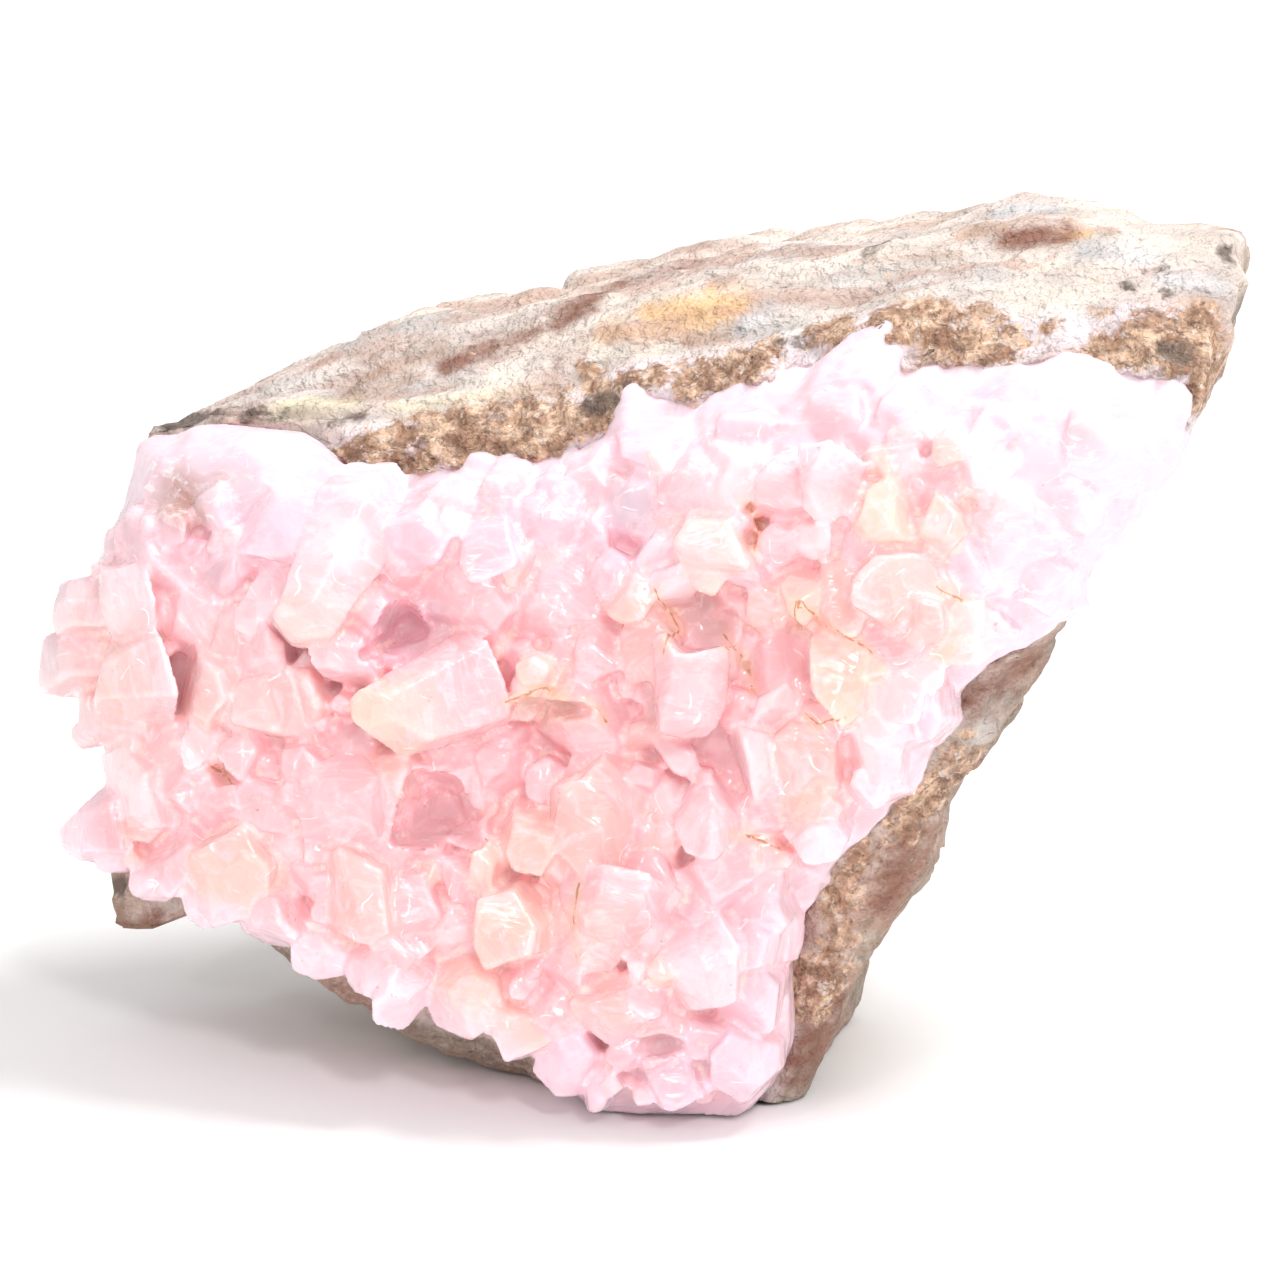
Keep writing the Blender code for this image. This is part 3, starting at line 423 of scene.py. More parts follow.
def room_within(outline: Outline, places: Array) -> Array:
    """How far inside an outline each row's u, v lies, along the ray from the middle."""
    turn, away = FACE.polar(places)
    return outline_radius(outline, turn) - away


def cleaved(u: Array, v: Array, size: float, seed: int) -> Array:
    """Height of a surface broken into three-sided corners, as calcite cleaves.

    Every square cell of the plane holds one corner at a random place and level. A corner
    falls away from its top along three directions, and the surface is the highest of them.

    Args:
        u: Places across the face.
        v: Places up the face.
        size: The side of a cell.
        seed: Chooses the pattern.

    Returns:
        The height of each place, in cells.
    """
    falls_away = ((0.0, 0.55), (2.1, 0.8), (4.2, 1.1))
    cell_u, cell_v = np.floor(u / size), np.floor(v / size)
    best = np.full(u.shape, -9.0)
    for step_u, step_v in itertools.product((-1, 0, 1), repeat=2):
        near = (cell_u + step_u, cell_v + step_v)
        chance = [hashed(*near, np.full(u.shape, seed), np.full(u.shape, k)) for k in range(4)]
        away_u = u / size - near[0] - 0.5 - 0.8 * (chance[0] - 0.5)
        away_v = v / size - near[1] - 0.5 - 0.8 * (chance[1] - 0.5)
        bearing = 0.5 + 0.9 * chance[2]
        falls = [
            slope * (away_u * np.cos(bearing + turn) + away_v * np.sin(bearing + turn))
            for turn, slope in falls_away
        ]
        best = np.maximum(best, 0.5 * chance[3] - np.maximum.reduce(falls))
    return best


def massive_share(u: Array, v: Array) -> Array:
    """0 where crystals stand, 1 on the massive bands along the top and the right."""
    top = ease(-1.5, 2.0, v - (38.6 + 0.13 * u))
    return np.maximum(top, ease(-1.0, 2.0, u - (12.5 + 0.17 * v)))


def place_mesh(name: str, mesh: Mesh, home: Collection) -> Object:
    """Puts a mesh in a new object at the origin.

    Args:
        name: The object's name.
        mesh: Its mesh.
        home: The collection that takes it.

    Returns:
        The new object.
    """
    item = bpy.data.objects.new(name, mesh)
    home.objects.link(item)
    return item


def new_object(name: str, points: Array, faces: list, home: Collection) -> Object:
    """A mesh object at the origin.

    Args:
        name: The object's name.
        points: Rows of three coordinates.
        faces: For each face, the rows of its corners, anticlockwise from outside.
        home: The collection that takes it.

    Returns:
        The new object.
    """
    mesh = bpy.data.meshes.new(name)
    mesh.from_pydata(points.tolist(), [], faces)
    mesh.update()
    return place_mesh(name, mesh, home)


def hull_object(name: str, points: Array, home: Collection) -> Object:
    """A closed convex mesh object round some points.

    Args:
        name: The object's name.
        points: Rows of three coordinates.
        home: The collection that takes it.

    Returns:
        The new object.
    """
    shape = bmesh.new()
    corners = [shape.verts.new(point) for point in points]
    bmesh.ops.convex_hull(shape, input=corners)
    mesh = bpy.data.meshes.new(name)
    shape.to_mesh(mesh)
    shape.free()
    return place_mesh(name, mesh, home)


def read_rows(items: bpy.types.bpy_prop_collection, name: str, width: int = 3,
              kind: type = float) -> Array:
    """One property of all the points, edges or corners of a mesh.

    Args:
        items: The mesh's points, edges, corners or faces.
        name: The property.
        width: How many numbers each of them has.
        kind: The kind of number.

    Returns:
        One row for each of them.
    """
    rows = np.empty(len(items) * width, dtype=kind)
    items.foreach_get(name, rows)
    return rows.reshape(-1, width)


def write_points(mesh: Mesh, points: Array) -> None:
    """Puts rows of three coordinates into the mesh."""
    mesh.vertices.foreach_set("co", points.ravel())
    mesh.update()


def write_colours(mesh: Mesh, name: str, rows: Array) -> None:
    """Stores three numbers for each point under a name, as a solid colour."""
    layer = mesh.attributes.new(name, "FLOAT_COLOR", "POINT")
    layer.data.foreach_set("color", np.column_stack([rows, np.ones(len(rows))]).ravel())


def neighbour_mean(rows: Array, ends: Array, rounds: int = 1) -> Array:
    """Replaces each point's row by the mean of its neighbours' rows.

    Args:
        rows: One row of numbers for each point.
        ends: Both points of every edge.
        rounds: How many times over.

    Returns:
        The new rows.
    """
    first, second = ends.T
    share = np.bincount(first, minlength=len(rows)) + np.bincount(second, minlength=len(rows))
    share = np.maximum(share, 1)[:, None]
    for _ in range(rounds):
        total = [np.bincount(first, column[second], len(rows))
                 + np.bincount(second, column[first], len(rows)) for column in rows.T]
        rows = np.stack(total, axis=1) / share
    return rows


def keep_largest_shell(shape: bmesh.types.BMesh) -> None:
    """Deletes every separate part of a mesh but the one with the most faces.

    Args:
        shape: The mesh.
    """
    left = set(shape.faces)
    shells = []
    while left:
        shell, edge = set(), [left.pop()]
        while edge:
            item = edge.pop()
            shell.add(item)
            for side in item.edges:
                for other in side.link_faces:
                    if other in left:
                        left.discard(other)
                        edge.append(other)
        shells.append(shell)
    largest = max(shells, key=len)
    extra = [item for shell in shells if shell is not largest for item in shell]
    bmesh.ops.delete(shape, geom=extra, context="FACES")


def ball_faces(around: int, rings: int) -> list:
    """Faces of a closed grid of rings between two poles, seen from outside.

    The first point is one pole and the last point is the other. Ring r starts at point
    1 + (r - 1) * around.

    Args:
        around: Points in a ring.
        rings: Steps from pole to pole.

    Returns:
        For each face, the rows of its corners.
    """
    step = np.arange(around)
    after = (step + 1) % around
    last = 1 + (rings - 1) * around
    starts = 1 + np.arange(rings - 2)[:, None] * around
    quads = np.stack([
        starts + step, starts + around + step, starts + around + after, starts + after,
    ], axis=-1).reshape(-1, 4)
    near = np.stack([np.zeros(around, int), 1 + step, 1 + after], axis=1)
    far_start = last - around
    far = np.stack([np.full(around, last), far_start + after, far_start + step], axis=1)
    return near.tolist() + quads.tolist() + far.tolist()


def ball_grid(around: int, rings: int) -> tuple[Array, Array]:
    """The points of such a grid, poles included.

    Args:
        around: Points in a ring.
        rings: Steps from pole to pole.

    Returns:
        The angle of each point, and its ring number.
    """
    turn = np.tile(np.arange(around) * 2 * math.pi / around, rings - 1)
    ring = np.repeat(np.arange(1, rings), around).astype(float)
    return np.concatenate([[0], turn, [0]]), np.concatenate([[0], ring, [rings]])


def corners_inside(normals: Array, distances: Array) -> Array:
    """Corners of the solid inside every plane.

    Each three planes meet in one point, and a point that no plane cuts off is a corner.

    Args:
        normals: Where each plane looks.
        distances: How far each plane lies from the origin.

    Returns:
        Rows of three coordinates.
    """
    triples = np.array(list(itertools.combinations(range(len(normals)), 3)))
    systems = normals[triples]
    sound = np.abs(np.linalg.det(systems)) > 1e-4
    right = distances[triples[sound]][..., None]
    points = np.linalg.solve(systems[sound], right)[..., 0]
    points = points[(points @ normals.T - distances).max(axis=1) < 1e-6]
    _, first = np.unique(np.round(points, 2), axis=0, return_index=True)
    return points[first]


def chamfer(normals: Array, distances: Array, width: float) -> tuple:
    """Adds a narrow plane along every edge, so that each edge catches light.

    The new plane looks midway between the two that meet there. It lies below the edge by
    half its width times the tangent of half the angle between them.

    Args:
        normals: Where each plane of the solid looks.
        distances: How far each plane lies from the origin.
        width: How wide the new planes are.

    Returns:
        The normals and distances of all planes.
    """
    points = corners_inside(normals, distances)
    on = np.abs(points @ normals.T - distances) < 2e-4
    shared = on.T.astype(int) @ on.astype(int)
    first, second = np.nonzero(np.triu(shared >= 2, 1))
    middle = normals[first] + normals[second]
    middle /= np.linalg.norm(middle, axis=1)[:, None]
    half = np.arccos(np.clip((middle * normals[first]).sum(axis=1), -1, 1))
    both = (on[:, first] & on[:, second]).T.astype(float)
    edge = both @ points / both.sum(axis=1)[:, None]
    reach = (middle * edge).sum(axis=1) - width / 2 * np.tan(half)
    return np.vstack([normals, middle]), np.concatenate([distances, reach])


def piece_distance(places: Array, start: Row, end: Row) -> Array:
    """Distance from each place to a straight piece of a line.

    Args:
        places: Rows of two or three coordinates.
        start: One end of the piece.
        end: Its other end.

    Returns:
        One distance for each row.
    """
    first = np.array(start)
    piece = np.array(end) - first
    arms = places - first
    along = np.clip(arms @ piece / (piece @ piece), 0, 1)
    return np.linalg.norm(arms - along[:, None] * piece, axis=1)


def line_side(places: Array, line: Outline) -> tuple[Array, Array]:
    """How near a line of straight pieces lies, and on which side.

    Args:
        places: Rows of u, v.
        line: The ends of the pieces, in order.

    Returns:
        The distance of each place, and how far to the left of its nearest piece it lies.
    """
    best, side = np.full(len(places), FAR), np.zeros(len(places))
    for start, end in zip(line[:-1], line[1:]):
        away = piece_distance(places, start, end)
        piece, arms = np.subtract(end, start), places - start
        left = (piece[0] * arms[:, 1] - piece[1] * arms[:, 0]) / math.hypot(*piece)
        side = np.where(away < best, left, side)
        best = np.minimum(best, away)
    return best, side


@dataclass(frozen=True)
class Prism:
    """One six-sided crystal with a cap of a few faces."""

    tip_u: float
    tip_v: float
    rise: float
    lean_u: float
    lean_v: float
    half_u: float
    half_v: float
    turn: float
    tint: Tint

    def root(self, level: float) -> Array:
        """Where its axis starts: at a level of h, or higher for a crystal that lies down.

        Args:
            level: The lowest level of a root.

        Returns:
            One u, v, h.
        """
        lean = math.hypot(self.lean_u, self.lean_v)
        raised = self.rise - 0.62 * lean if lean > 2.9 else level
        return np.array([self.tip_u - self.lean_u, self.tip_v - self.lean_v, max(level, raised)])

    def tip(self) -> Array:
        """Where its axis ends."""
        return np.array([self.tip_u, self.tip_v, self.rise])


class PrismShape:
    """Works out a crystal as the solid inside its planes: sides, cap, foot and small facets.

    The foot of a leaning crystal lies further up its axis, so that it stays in the crust.
    Slopes are in degrees from the axis, and widths and cuts are shares of the half width.
    """

    root_width = 1.28
    tip_widths = (0.72, 0.98)
    side_turn = 13.0
    side_shares = (0.78, 1.1)
    cap_faces = (1, 2, 3, 3)
    cap_turn = 25.0
    facets = 4
    facet_slopes = (30, 68)
    facet_cuts = (0.05, 0.28)
    least_room = 4.0

    def __init__(self, prism: Prism, index: int, slopes: Row, root_level: float) -> None:
        """Works out the crystal's axis, its foot and its planes.

        Args:
            prism: The crystal.
            index: Its number, which seeds its chances.
            slopes: The least and the greatest slope of its cap.
            root_level: The lowest level of its root.
        """
        self.prism = prism
        self.slopes = slopes
        self.root = prism.root(root_level)
        self.axis = prism.tip() - self.root
        self.length = float(np.linalg.norm(self.axis))
        room = room_within(CRUST_OUTLINE, self.root[None])[0]
        share = 0.09 * math.hypot(prism.lean_u, prism.lean_v) * (self.root[2] == root_level)
        self.foot = min(0.45, share) * self.length * (1.0 if room < self.least_room else 0.4)
        self.chance = random.Random(SEED * 1000 + index)
        self.odd = random.Random(SEED * 7000 + index)
        self.turned = self.turn_matrix()
        self.normals, self.distances = self.planes()

    def turn_matrix(self) -> Array:
        """The matrix that takes the crystal's own directions to the face's."""
        return np.array(Vector((0, 0, 1)).rotation_difference(Vector(self.axis)).to_matrix())

    def to_face(self, points: Array) -> Array:
        """Places on the face of points given along and across the crystal."""
        return points @ self.turned.T + self.root

    def outside(self, points: Array) -> tuple[Array, Array]:
        """How far places on the face lie outside the crystal: the most for all its planes.

        Args:
            points: Rows of u, v, h.

        Returns:
            The distance of each, and where its nearest plane looks.
        """
        local = (points - self.root) @ self.turned
        away = local @ self.normals.T - self.distances
        nearest = away.argmax(axis=1)
        return away[np.arange(len(points)), nearest], self.normals[nearest] @ self.turned.T

    @staticmethod
    def tilted(bearing: float, slope: float) -> Array:
        """The direction at a bearing round the axis that leans away from it by a slope."""
        flat = math.sin(slope)
        return np.array([flat * math.cos(bearing), flat * math.sin(bearing), math.cos(slope)])

    def planes(self) -> tuple[Array, Array]:
        """The planes, with z along the axis from the root.

        A side stands at a share of the half width that shrinks evenly to the tip, so its
        normal tips up by the taper. A cap face passes near the apex and falls away at its
        slope. A small facet cuts off what lies beyond a distance from the apex.

        Returns:
            Their normals and their distances from the root.
        """
        taper = self.chance.uniform(*self.tip_widths)
        half = np.array([self.prism.half_u, self.prism.half_v])
        apex_u = self.chance.uniform(-0.5, 0.5) * half[0]
        apex_v = self.chance.uniform(-0.5, 0.5) * half[1]
        apex = np.array([apex_u, apex_v, self.length])
        normals, distances = [], []
        for side in range(6):
            odd_turn = self.odd.uniform(-self.side_turn, self.side_turn)
            bearing = math.radians(self.prism.turn + 60 * side + odd_turn)
            flat = np.array([math.cos(bearing), math.sin(bearing)]) / half
            share = math.cos(math.pi / 6) * self.odd.uniform(*self.side_shares)
            fall = (self.root_width - taper) * share / self.length
            normal = np.array([*flat, fall])
            size = np.linalg.norm(normal)
            normals.append(normal / size)
            distances.append(self.root_width * share / size)
        for side in range(self.odd.choice(self.cap_faces)):
            jitter = self.chance.uniform(-self.cap_turn, self.cap_turn)
            bearing = math.radians(self.prism.turn + 30 + 120 * side + jitter)
            looks = self.tilted(bearing, math.radians(self.chance.uniform(*self.slopes)))
            normals.append(looks)
            distances.append(float(looks @ apex))
        for _ in range(self.facets):
            bearing = self.odd.uniform(0, 2 * math.pi)
            slope = math.radians(self.odd.uniform(*self.facet_slopes))
            looks = self.tilted(bearing, slope)
            normals.append(looks)
            cut = self.odd.uniform(*self.facet_cuts) * half.min()
            distances.append(float(looks @ apex) + 0.62 * half.min() * math.sin(slope) - cut)
        normals.append(np.array([0.0, 0.0, -1.0]))
        distances.append(-self.foot)
        return np.array(normals), np.array(distances)

    def build(self, name: str, home: Collection, edge: float) -> None:
        """Makes the crystal in a collection, with chamfered edges of a width."""
        planes = chamfer(self.normals, self.distances, edge)
        hull_object(name, self.to_face(corners_inside(*planes)), home)


@dataclass
class CalciteCrust:
    """The pink crust: its layer, crystals, small growths and finish.

    Levels and sizes are in millimetres of h. The layer is a closed grid of rings, whose
    first part is the relief in front and whose last part is the flat back.
    """

    back: float = -7.1
    lip: float = -5.3
    root_level: float = -4.6
    massive_level: float = -0.4
    drop: float = 2.5
    bell: float = 2.6
    around: int = 420
    rings: int = 100
    front_rings: int = 84
    crystal_slopes: Row = (14, 34)
    lump_slopes: Row = (5, 18)
    crystal_edges: Row = (0.06, 0.3)
    lump_edge: float = 0.15
    filler_edge: float = 0.06
    filler_step: float = 0.9
    # For each generation of fillers: the least and greatest half width, and the least and
    # greatest depth of the tip below the tips around it.
    filler_kinds: tuple[Row, ...] = ((1.3, 2.5, 0.0, 1.3), (0.7, 1.3, 0.4, 1.8))
    filler_tints: tuple[Tint, ...] = (
        Tint.PINK, Tint.PINK, Tint.PINK, Tint.SALMON, Tint.WHITE, Tint.PEACH, Tint.ROSE,
    )
    # Room that a filler leaves to a listed crystal, as shares of both half widths, and to
    # another filler.
    listed_room: Row = (0.52, 0.32)
    filler_room: float = 0.62
    least_parent: float = 2.6
    no_shoot: float = 0.4
    spread: float = 1.12
    grain: float = 0.262
    near_plane: float = 0.3
    most_move: float = 0.14
    step_height: float = 0.08
    fine_height: float = 0.03
    break_heights: Row = (0.28, 0.16)
    layer_pull: float = 0.75
    noise_reach: float = 40.0
    recess_depths: Row = (1.5, 5.5)
    seam_reach: float = 1.5
    seam_wander: float = 0.35
    root_tint: Colour = (0.94, 0.52, 0.55)
    band_tint: Colour = (0.95, 0.76, 0.87)
    rim_tint: Colour = (0.94, 0.72, 0.81)
    layer_tint: Colour = (0.94, 0.56, 0.6)

    def surface_level(self, u: Array, v: Array, turn: Array,
                      edge: Array) -> Array:
        """Height of the crust between crystals.

        The mean height of the tips around, each weighed by a bell of its distance, less the
        drop. Then the level of the massive bands, swells of noise and two sizes of cleaved
        corners. It is rounded off towards the outline by the root of a smooth step of the
        distance to it.

        Args:
            u: Places across the face.
            v: Places up the face.
            turn: The angle of each place round the middle of the face.
            edge: How far inside the outline it lies.

        Returns:
            The level of each place.
        """
        places = np.stack([u, v, np.zeros_like(u)], axis=1)
        massive = massive_share(u, v)
        tips = np.array([row[:5] for row in CRYSTALS])
        away = np.hypot(u[:, None] - tips[:, 0] + 0.3 * tips[:, 3],
                        v[:, None] - tips[:, 1] + 0.3 * tips[:, 4])
        weight = np.exp(-0.5 * (away / self.bell) ** 2) + 1e-4
        level = (weight @ tips[:, 2]) / weight.sum(axis=1) - self.drop
        level += (self.massive_level - level) * massive
        level += 0.6 * rough(places, 4.5, SEED) + 0.5 * massive * rough(places, 1.6, SEED + 2)
        warp = 0.7 * rough(places, 3.0, SEED + 31)
        level += (0.75 + 0.35 * massive) * cleaved(u + warp, v - warp, 2.6, SEED + 3)
        level += (0.12 + 0.2 * massive) * cleaved(u - warp, v, 1.1, SEED + 4)
        upper = ease(0.05, 0.45, np.sin(turn)) + ease(0.55, 0.9, np.cos(turn + 0.6))
        width = 1.8 + 3.6 * np.clip(upper, 0, 1) * ease(-27, -22, u)
        level = np.maximum(level, self.lip + 0.2)
        return self.lip + (level - self.lip) * np.sqrt(ease(-0.4, 1.6, edge / width))

    def layer(self, home: Collection) -> Object:
        """The layer that the crystals grow from, as rings from the middle to its outline.

        Noise along a circle makes the outline ragged, mostly at the top. The inner rings
        follow the mean of the outline over 28 degrees.

        Args:
            home: The collection that takes it.

        Returns:
            The new object.
        """
        turn, ring = ball_grid(self.around, self.rings)
        circle = np.stack([24 * np.cos(turn), 24 * np.sin(turn), np.zeros_like(turn)], axis=1)
        top = ease(0.1, 0.5, np.sin(turn))
        ragged = (0.35 + 0.45 * top) * rough(circle, 2.4, SEED + 40)
        ragged += 0.5 * top * rough(circle, 0.9, SEED + 44)
        edge = outline_radius(CRUST_OUTLINE, turn) + ragged
        apart = np.radians(np.arange(-14, 15, 2))
        calm = np.mean([outline_radius(CRUST_OUTLINE, turn + a) for a in apart], axis=0)
        front = ring <= self.front_rings
        behind = (self.rings - ring) / (self.rings - self.front_rings - 1)
        share = np.where(front, ring / self.front_rings, np.minimum(1, behind))
        reach = calm + (edge - calm) * ease(0.5, 1.0, share)
        u = FACE.centre[0] + share * reach * np.cos(turn)
        v = FACE.centre[1] + share * reach * np.sin(turn)
        level = self.surface_level(u, v, turn, (1 - share) * edge)
        points = np.stack([u, v, np.where(front, level, self.back)], axis=1)
        return new_object("crust_layer", points, ball_faces(self.around, self.rings), home)

    def listed(self) -> list[Prism]:
        """The listed crystals, wide enough to grow into each other.

        Near the outline they keep their listed width, or less where they would stand over the
        bare rock at the top or on the right.

        Returns:
            One crystal for each row of the list.
        """
        kept = []
        for prism in (Prism(*row) for row in CRYSTALS):
            room = max(0.0, float(room_within(CRUST_OUTLINE, prism.tip()[None])[0]))
            spread = 1.0 + (self.spread - 1.0) * min(1.0, room / 4.0)
            if prism.tip_u > 0 or prism.tip_v > 33:
                spread = min(spread, max(0.7, (room + 0.2) / max(prism.half_u, prism.half_v)))
            kept.append(replace(prism, half_u=spread * prism.half_u, half_v=spread * prism.half_v))
        return kept

    def shoots(self, main: list[Prism]) -> list[Prism]:
        """A smaller, lower crystal beside most of the wide ones, leaning as they do.

        Args:
            main: The listed crystals.

        Returns:
            The side shoots.
        """
        made = []
        for index, prism in enumerate(main):
            chance = random.Random(SEED * 500 + index)
            if prism.half_u < self.least_parent or chance.random() < self.no_shoot:
                continue
            bearing = chance.uniform(0, 2 * math.pi)
            share = chance.uniform(0.4, 0.65)
            away = chance.uniform(0.5, 0.8)
            made.append(replace(
                prism, tip_u=prism.tip_u + away * prism.half_u * math.cos(bearing),
                tip_v=prism.tip_v + away * prism.half_v * math.sin(bearing),
                rise=prism.rise - chance.uniform(0.3, 1.0),
                half_u=share * prism.half_u, half_v=share * prism.half_v,
            ))
        return made

    def fillers(self, main: list[Prism]) -> list[Prism]:
        """Lower crystals that fill the room between the listed ones, large ones and then small.

        Places are tried in a shuffled order. One is kept where it stands far enough from the
        axes of the listed crystals and from the places kept before. Its tip lies a little
        below the mean height of the tips around it.

        Args:
            main: The listed crystals.

        Returns:
            The fillers.
        """
        chance = random.Random(SEED + 77)
        tips = np.array([prism.tip() for prism in main])
        roots = np.array([prism.root(self.root_level) for prism in main])
        line = 0.5 * (roots - tips)[:, :2]
        halves = np.array([min(prism.half_u, prism.half_v) for prism in main])
        main_share, own_share = self.listed_room
        across, up = (np.arange(*ends, self.filler_step) for ends in ((-42, 34), (-2, 49)))
        spots = list(itertools.product(across, up))
        made: list[Prism] = []
        kept = np.zeros((0, 3))
        for least, most, high, low in self.filler_kinds:
            chance.shuffle(spots)
            for spot in spots:
                u, v = (place + chance.uniform(-0.4, 0.4) for place in spot)
                half = chance.uniform(least, most)
                room = float(room_within(CRUST_OUTLINE, np.array([[u, v]]))[0]) - half
                massive = float(massive_share(np.array([u]), np.array([v]))[0])
                if room < (1.2 if u > 0 or v > 33 or v < 8 else 0.4) or massive > 0.5:
                    continue
                along = ((np.array([u, v]) - tips[:, :2]) * line).sum(axis=1)
                along = np.clip(along / np.maximum((line**2).sum(axis=1), 1e-6), 0, 1)
                away = np.linalg.norm(tips[:, :2] + along[:, None] * line - (u, v), axis=1)
                if (away < main_share * halves + own_share * half).any():
                    continue
                away = np.hypot(kept[:, 0] - u, kept[:, 1] - v)
                if (away < self.filler_room * (kept[:, 2] + half)).any():
                    continue
                kept = np.vstack([kept, (u, v, half)])
                away = np.hypot(*(tips[:, :2] - (u, v)).T)
                weight = np.exp(-0.5 * (away / self.bell) ** 2) + 1e-4
                weight /= weight.sum()
                lean = 0.4 * (weight @ (tips - roots))
                rise = weight @ tips[:, 2] - chance.uniform(high, low)
                rise += (0.3 - rise) * massive
                tint = chance.choice(self.filler_tints)
                made.append(Prism(
                    u, v, rise, lean[0] + half * chance.uniform(-0.6, 0.6),
                    lean[1] + half * chance.uniform(-0.6, 0.6), half * 1.1,
                    half * chance.uniform(1.0, 1.5), chance.uniform(0, 120), tint,
                ))
        return made

    def grow(self, home: Collection) -> list[PrismShape]:
        """Makes every crystal: the listed ones, side shoots, massive lumps and fillers.

        Args:
            home: The collection that takes them.

        Returns:
            The shape of each.
        """
        made: list[PrismShape] = []

        def add(prism: Prism, slopes: Row, edge: float, level: float) -> None:
            """Makes the next crystal.

            Args:
                prism: The crystal.
                slopes: Least and greatest slope of its end faces.
                edge: Width of its chamfers.
                level: Height of its root.
            """
            shape = PrismShape(prism, len(made), slopes, level)
            shape.build(f"growth_{len(made):03d}", home, edge)
            made.append(shape)

        main = self.listed()
        for prism in main + self.shoots(main):
            edge = random.Random(SEED * 300 + len(made)).uniform(*self.crystal_edges)
            add(prism, self.crystal_slopes, edge, self.root_level)
        for u, v, rise, half_u, half_v, turn in LUMPS:
            lump = Prism(u, v, rise, 0, 0, half_u, half_v, turn, Tint.LILAC)
            add(lump, self.lump_slopes, self.lump_edge, self.root_level)
        for prism in self.fillers(main):
            level = min(self.root_level, prism.rise - 1.5)
            add(prism, self.crystal_slopes, self.filler_edge * prism.half_u, level)
        return made

    def open_clefts(self, home: Collection) -> None:
        """Makes the shape of every cleft: upright to its mouth, and narrow at its floor.

        Args:
            home: The collection that takes them.
        """
        for index, (mouth, floor, corners) in enumerate(CLEFTS):
            flat = np.array(corners)
            middle = flat.mean(axis=0)
            rows = [np.column_stack([middle + scale * (flat - middle), np.full(len(flat), level)])
                    for level, scale in ((9.0, 1.0), (mouth, 1.0), (floor, 0.3))]
            hull_object(f"cleft_{index:02d}", np.concatenate(rows), home)

    def fuse(self, layer: Object, grown: Collection, clefts: Collection) -> None:
        """Joins crystals and layer, cuts the clefts, and wraps all in a skin of small faces.

        Args:
            layer: The layer, which takes the new mesh.
            grown: The crystals, which are deleted.
            clefts: The clefts' shapes, which are deleted.
        """
        for home, operation in ((grown, "UNION"), (clefts, "DIFFERENCE")):
            joined = layer.modifiers.new(operation, "BOOLEAN")
            joined.operation = operation
            joined.solver = "MANIFOLD"
            joined.operand_type = "COLLECTION"
            joined.collection = home
        skin = layer.modifiers.new("Skin", "REMESH")
        skin.mode = "VOXEL"
        skin.voxel_size = self.grain
        skin.adaptivity = 0.0
        bpy.context.view_layer.update()
        graph = bpy.context.evaluated_depsgraph_get()
        mesh = bpy.data.meshes.new_from_object(layer.evaluated_get(graph))
        layer.modifiers.clear()
        mesh.materials.clear()
        mesh.polygons.foreach_set("material_index", np.zeros(len(mesh.polygons), dtype=np.int32))
        layer.data = mesh
        for home in (grown, clefts):
            for item in list(home.objects):
                bpy.data.objects.remove(item, do_unlink=True)
            bpy.data.collections.remove(home)

    def trim(self, mesh: Mesh) -> None:
        """Keeps the largest shell, cuts the foot flat and makes the flat back one face.

        All this is done on the face, with the floor's plane turned to it.

        Args:
            mesh: The crust's mesh, which is changed in place.
        """
        shape = bmesh.new()
        shape.from_mesh(mesh)
        keep_largest_shell(shape)
        ground = FACE.to_face(np.array([[0, 0, 0], [0, 0, -1.0]]))
        everything = shape.verts[:] + shape.edges[:] + shape.faces[:]
        bmesh.ops.bisect_plane(shape, geom=everything, dist=1e-4, plane_co=ground[0],
                               plane_no=ground[1] - ground[0], clear_outer=True)
        bmesh.ops.holes_fill(shape, edges=shape.edges, sides=0)
        low = self.back + 0.6 * self.grain
        behind = [point for point in shape.verts if point.co.z < low]
        for point in behind:
            point.co.z = self.back
        flat = [edge for edge in shape.edges if max(end.co.z for end in edge.verts) < low]
        bmesh.ops.dissolve_limit(shape, angle_limit=math.radians(3), verts=behind, edges=flat)
        bmesh.ops.triangulate(shape, faces=[f for f in shape.faces if len(f.verts) > 4])
        bmesh.ops.delete(shape, geom=[e for e in shape.edges if not e.link_faces], context="EDGES")
        bmesh.ops.delete(shape, geom=[v for v in shape.verts if not v.link_edges], context="VERTS")
        shape.to_mesh(mesh)
        shape.free()

    def owners(self, face: Array, made: list[PrismShape]) -> tuple:
        """Which crystal each point belongs to, and how near it lies to the next one.

        A point belongs to the crystal that it lies least outside of, or to the layer, whose
        distance is a share of the height above it.

        Args:
            face: Rows of u, v, h.
            made: Every crystal.

        Returns:
            The crystal's number for each point, -1 for the layer, the second least distance
            less the least, the least itself, and where the nearest plane looks.
        """
        turn, _ = FACE.polar(face)
        room = np.maximum(room_within(CRUST_OUTLINE, face), 0)
        level = self.surface_level(face[:, 0], face[:, 1], turn, room)
        best = self.layer_pull * np.maximum(face[:, 2] - level, 0)
        second = np.full(len(face), FAR)
        ids = np.full(len(face), -1)
        looks = np.zeros((len(face), 3))
        for index, shape in enumerate(made):
            reach = 1.7 * max(shape.prism.half_u, shape.prism.half_v) + 1.0
            middle = shape.root + 0.5 * shape.axis
            near = np.linalg.norm(face - middle, axis=1) < reach + 0.5 * shape.length
            away = np.full(len(face), FAR)
            away[near], out = shape.outside(face[near])
            nearer = away < best
            looks[nearer] = out[nearer[near]]
            second = np.where(nearer, best, np.minimum(second, away))
            best = np.where(nearer, away, best)
            ids[nearer] = index
        return ids, second - best, best, looks

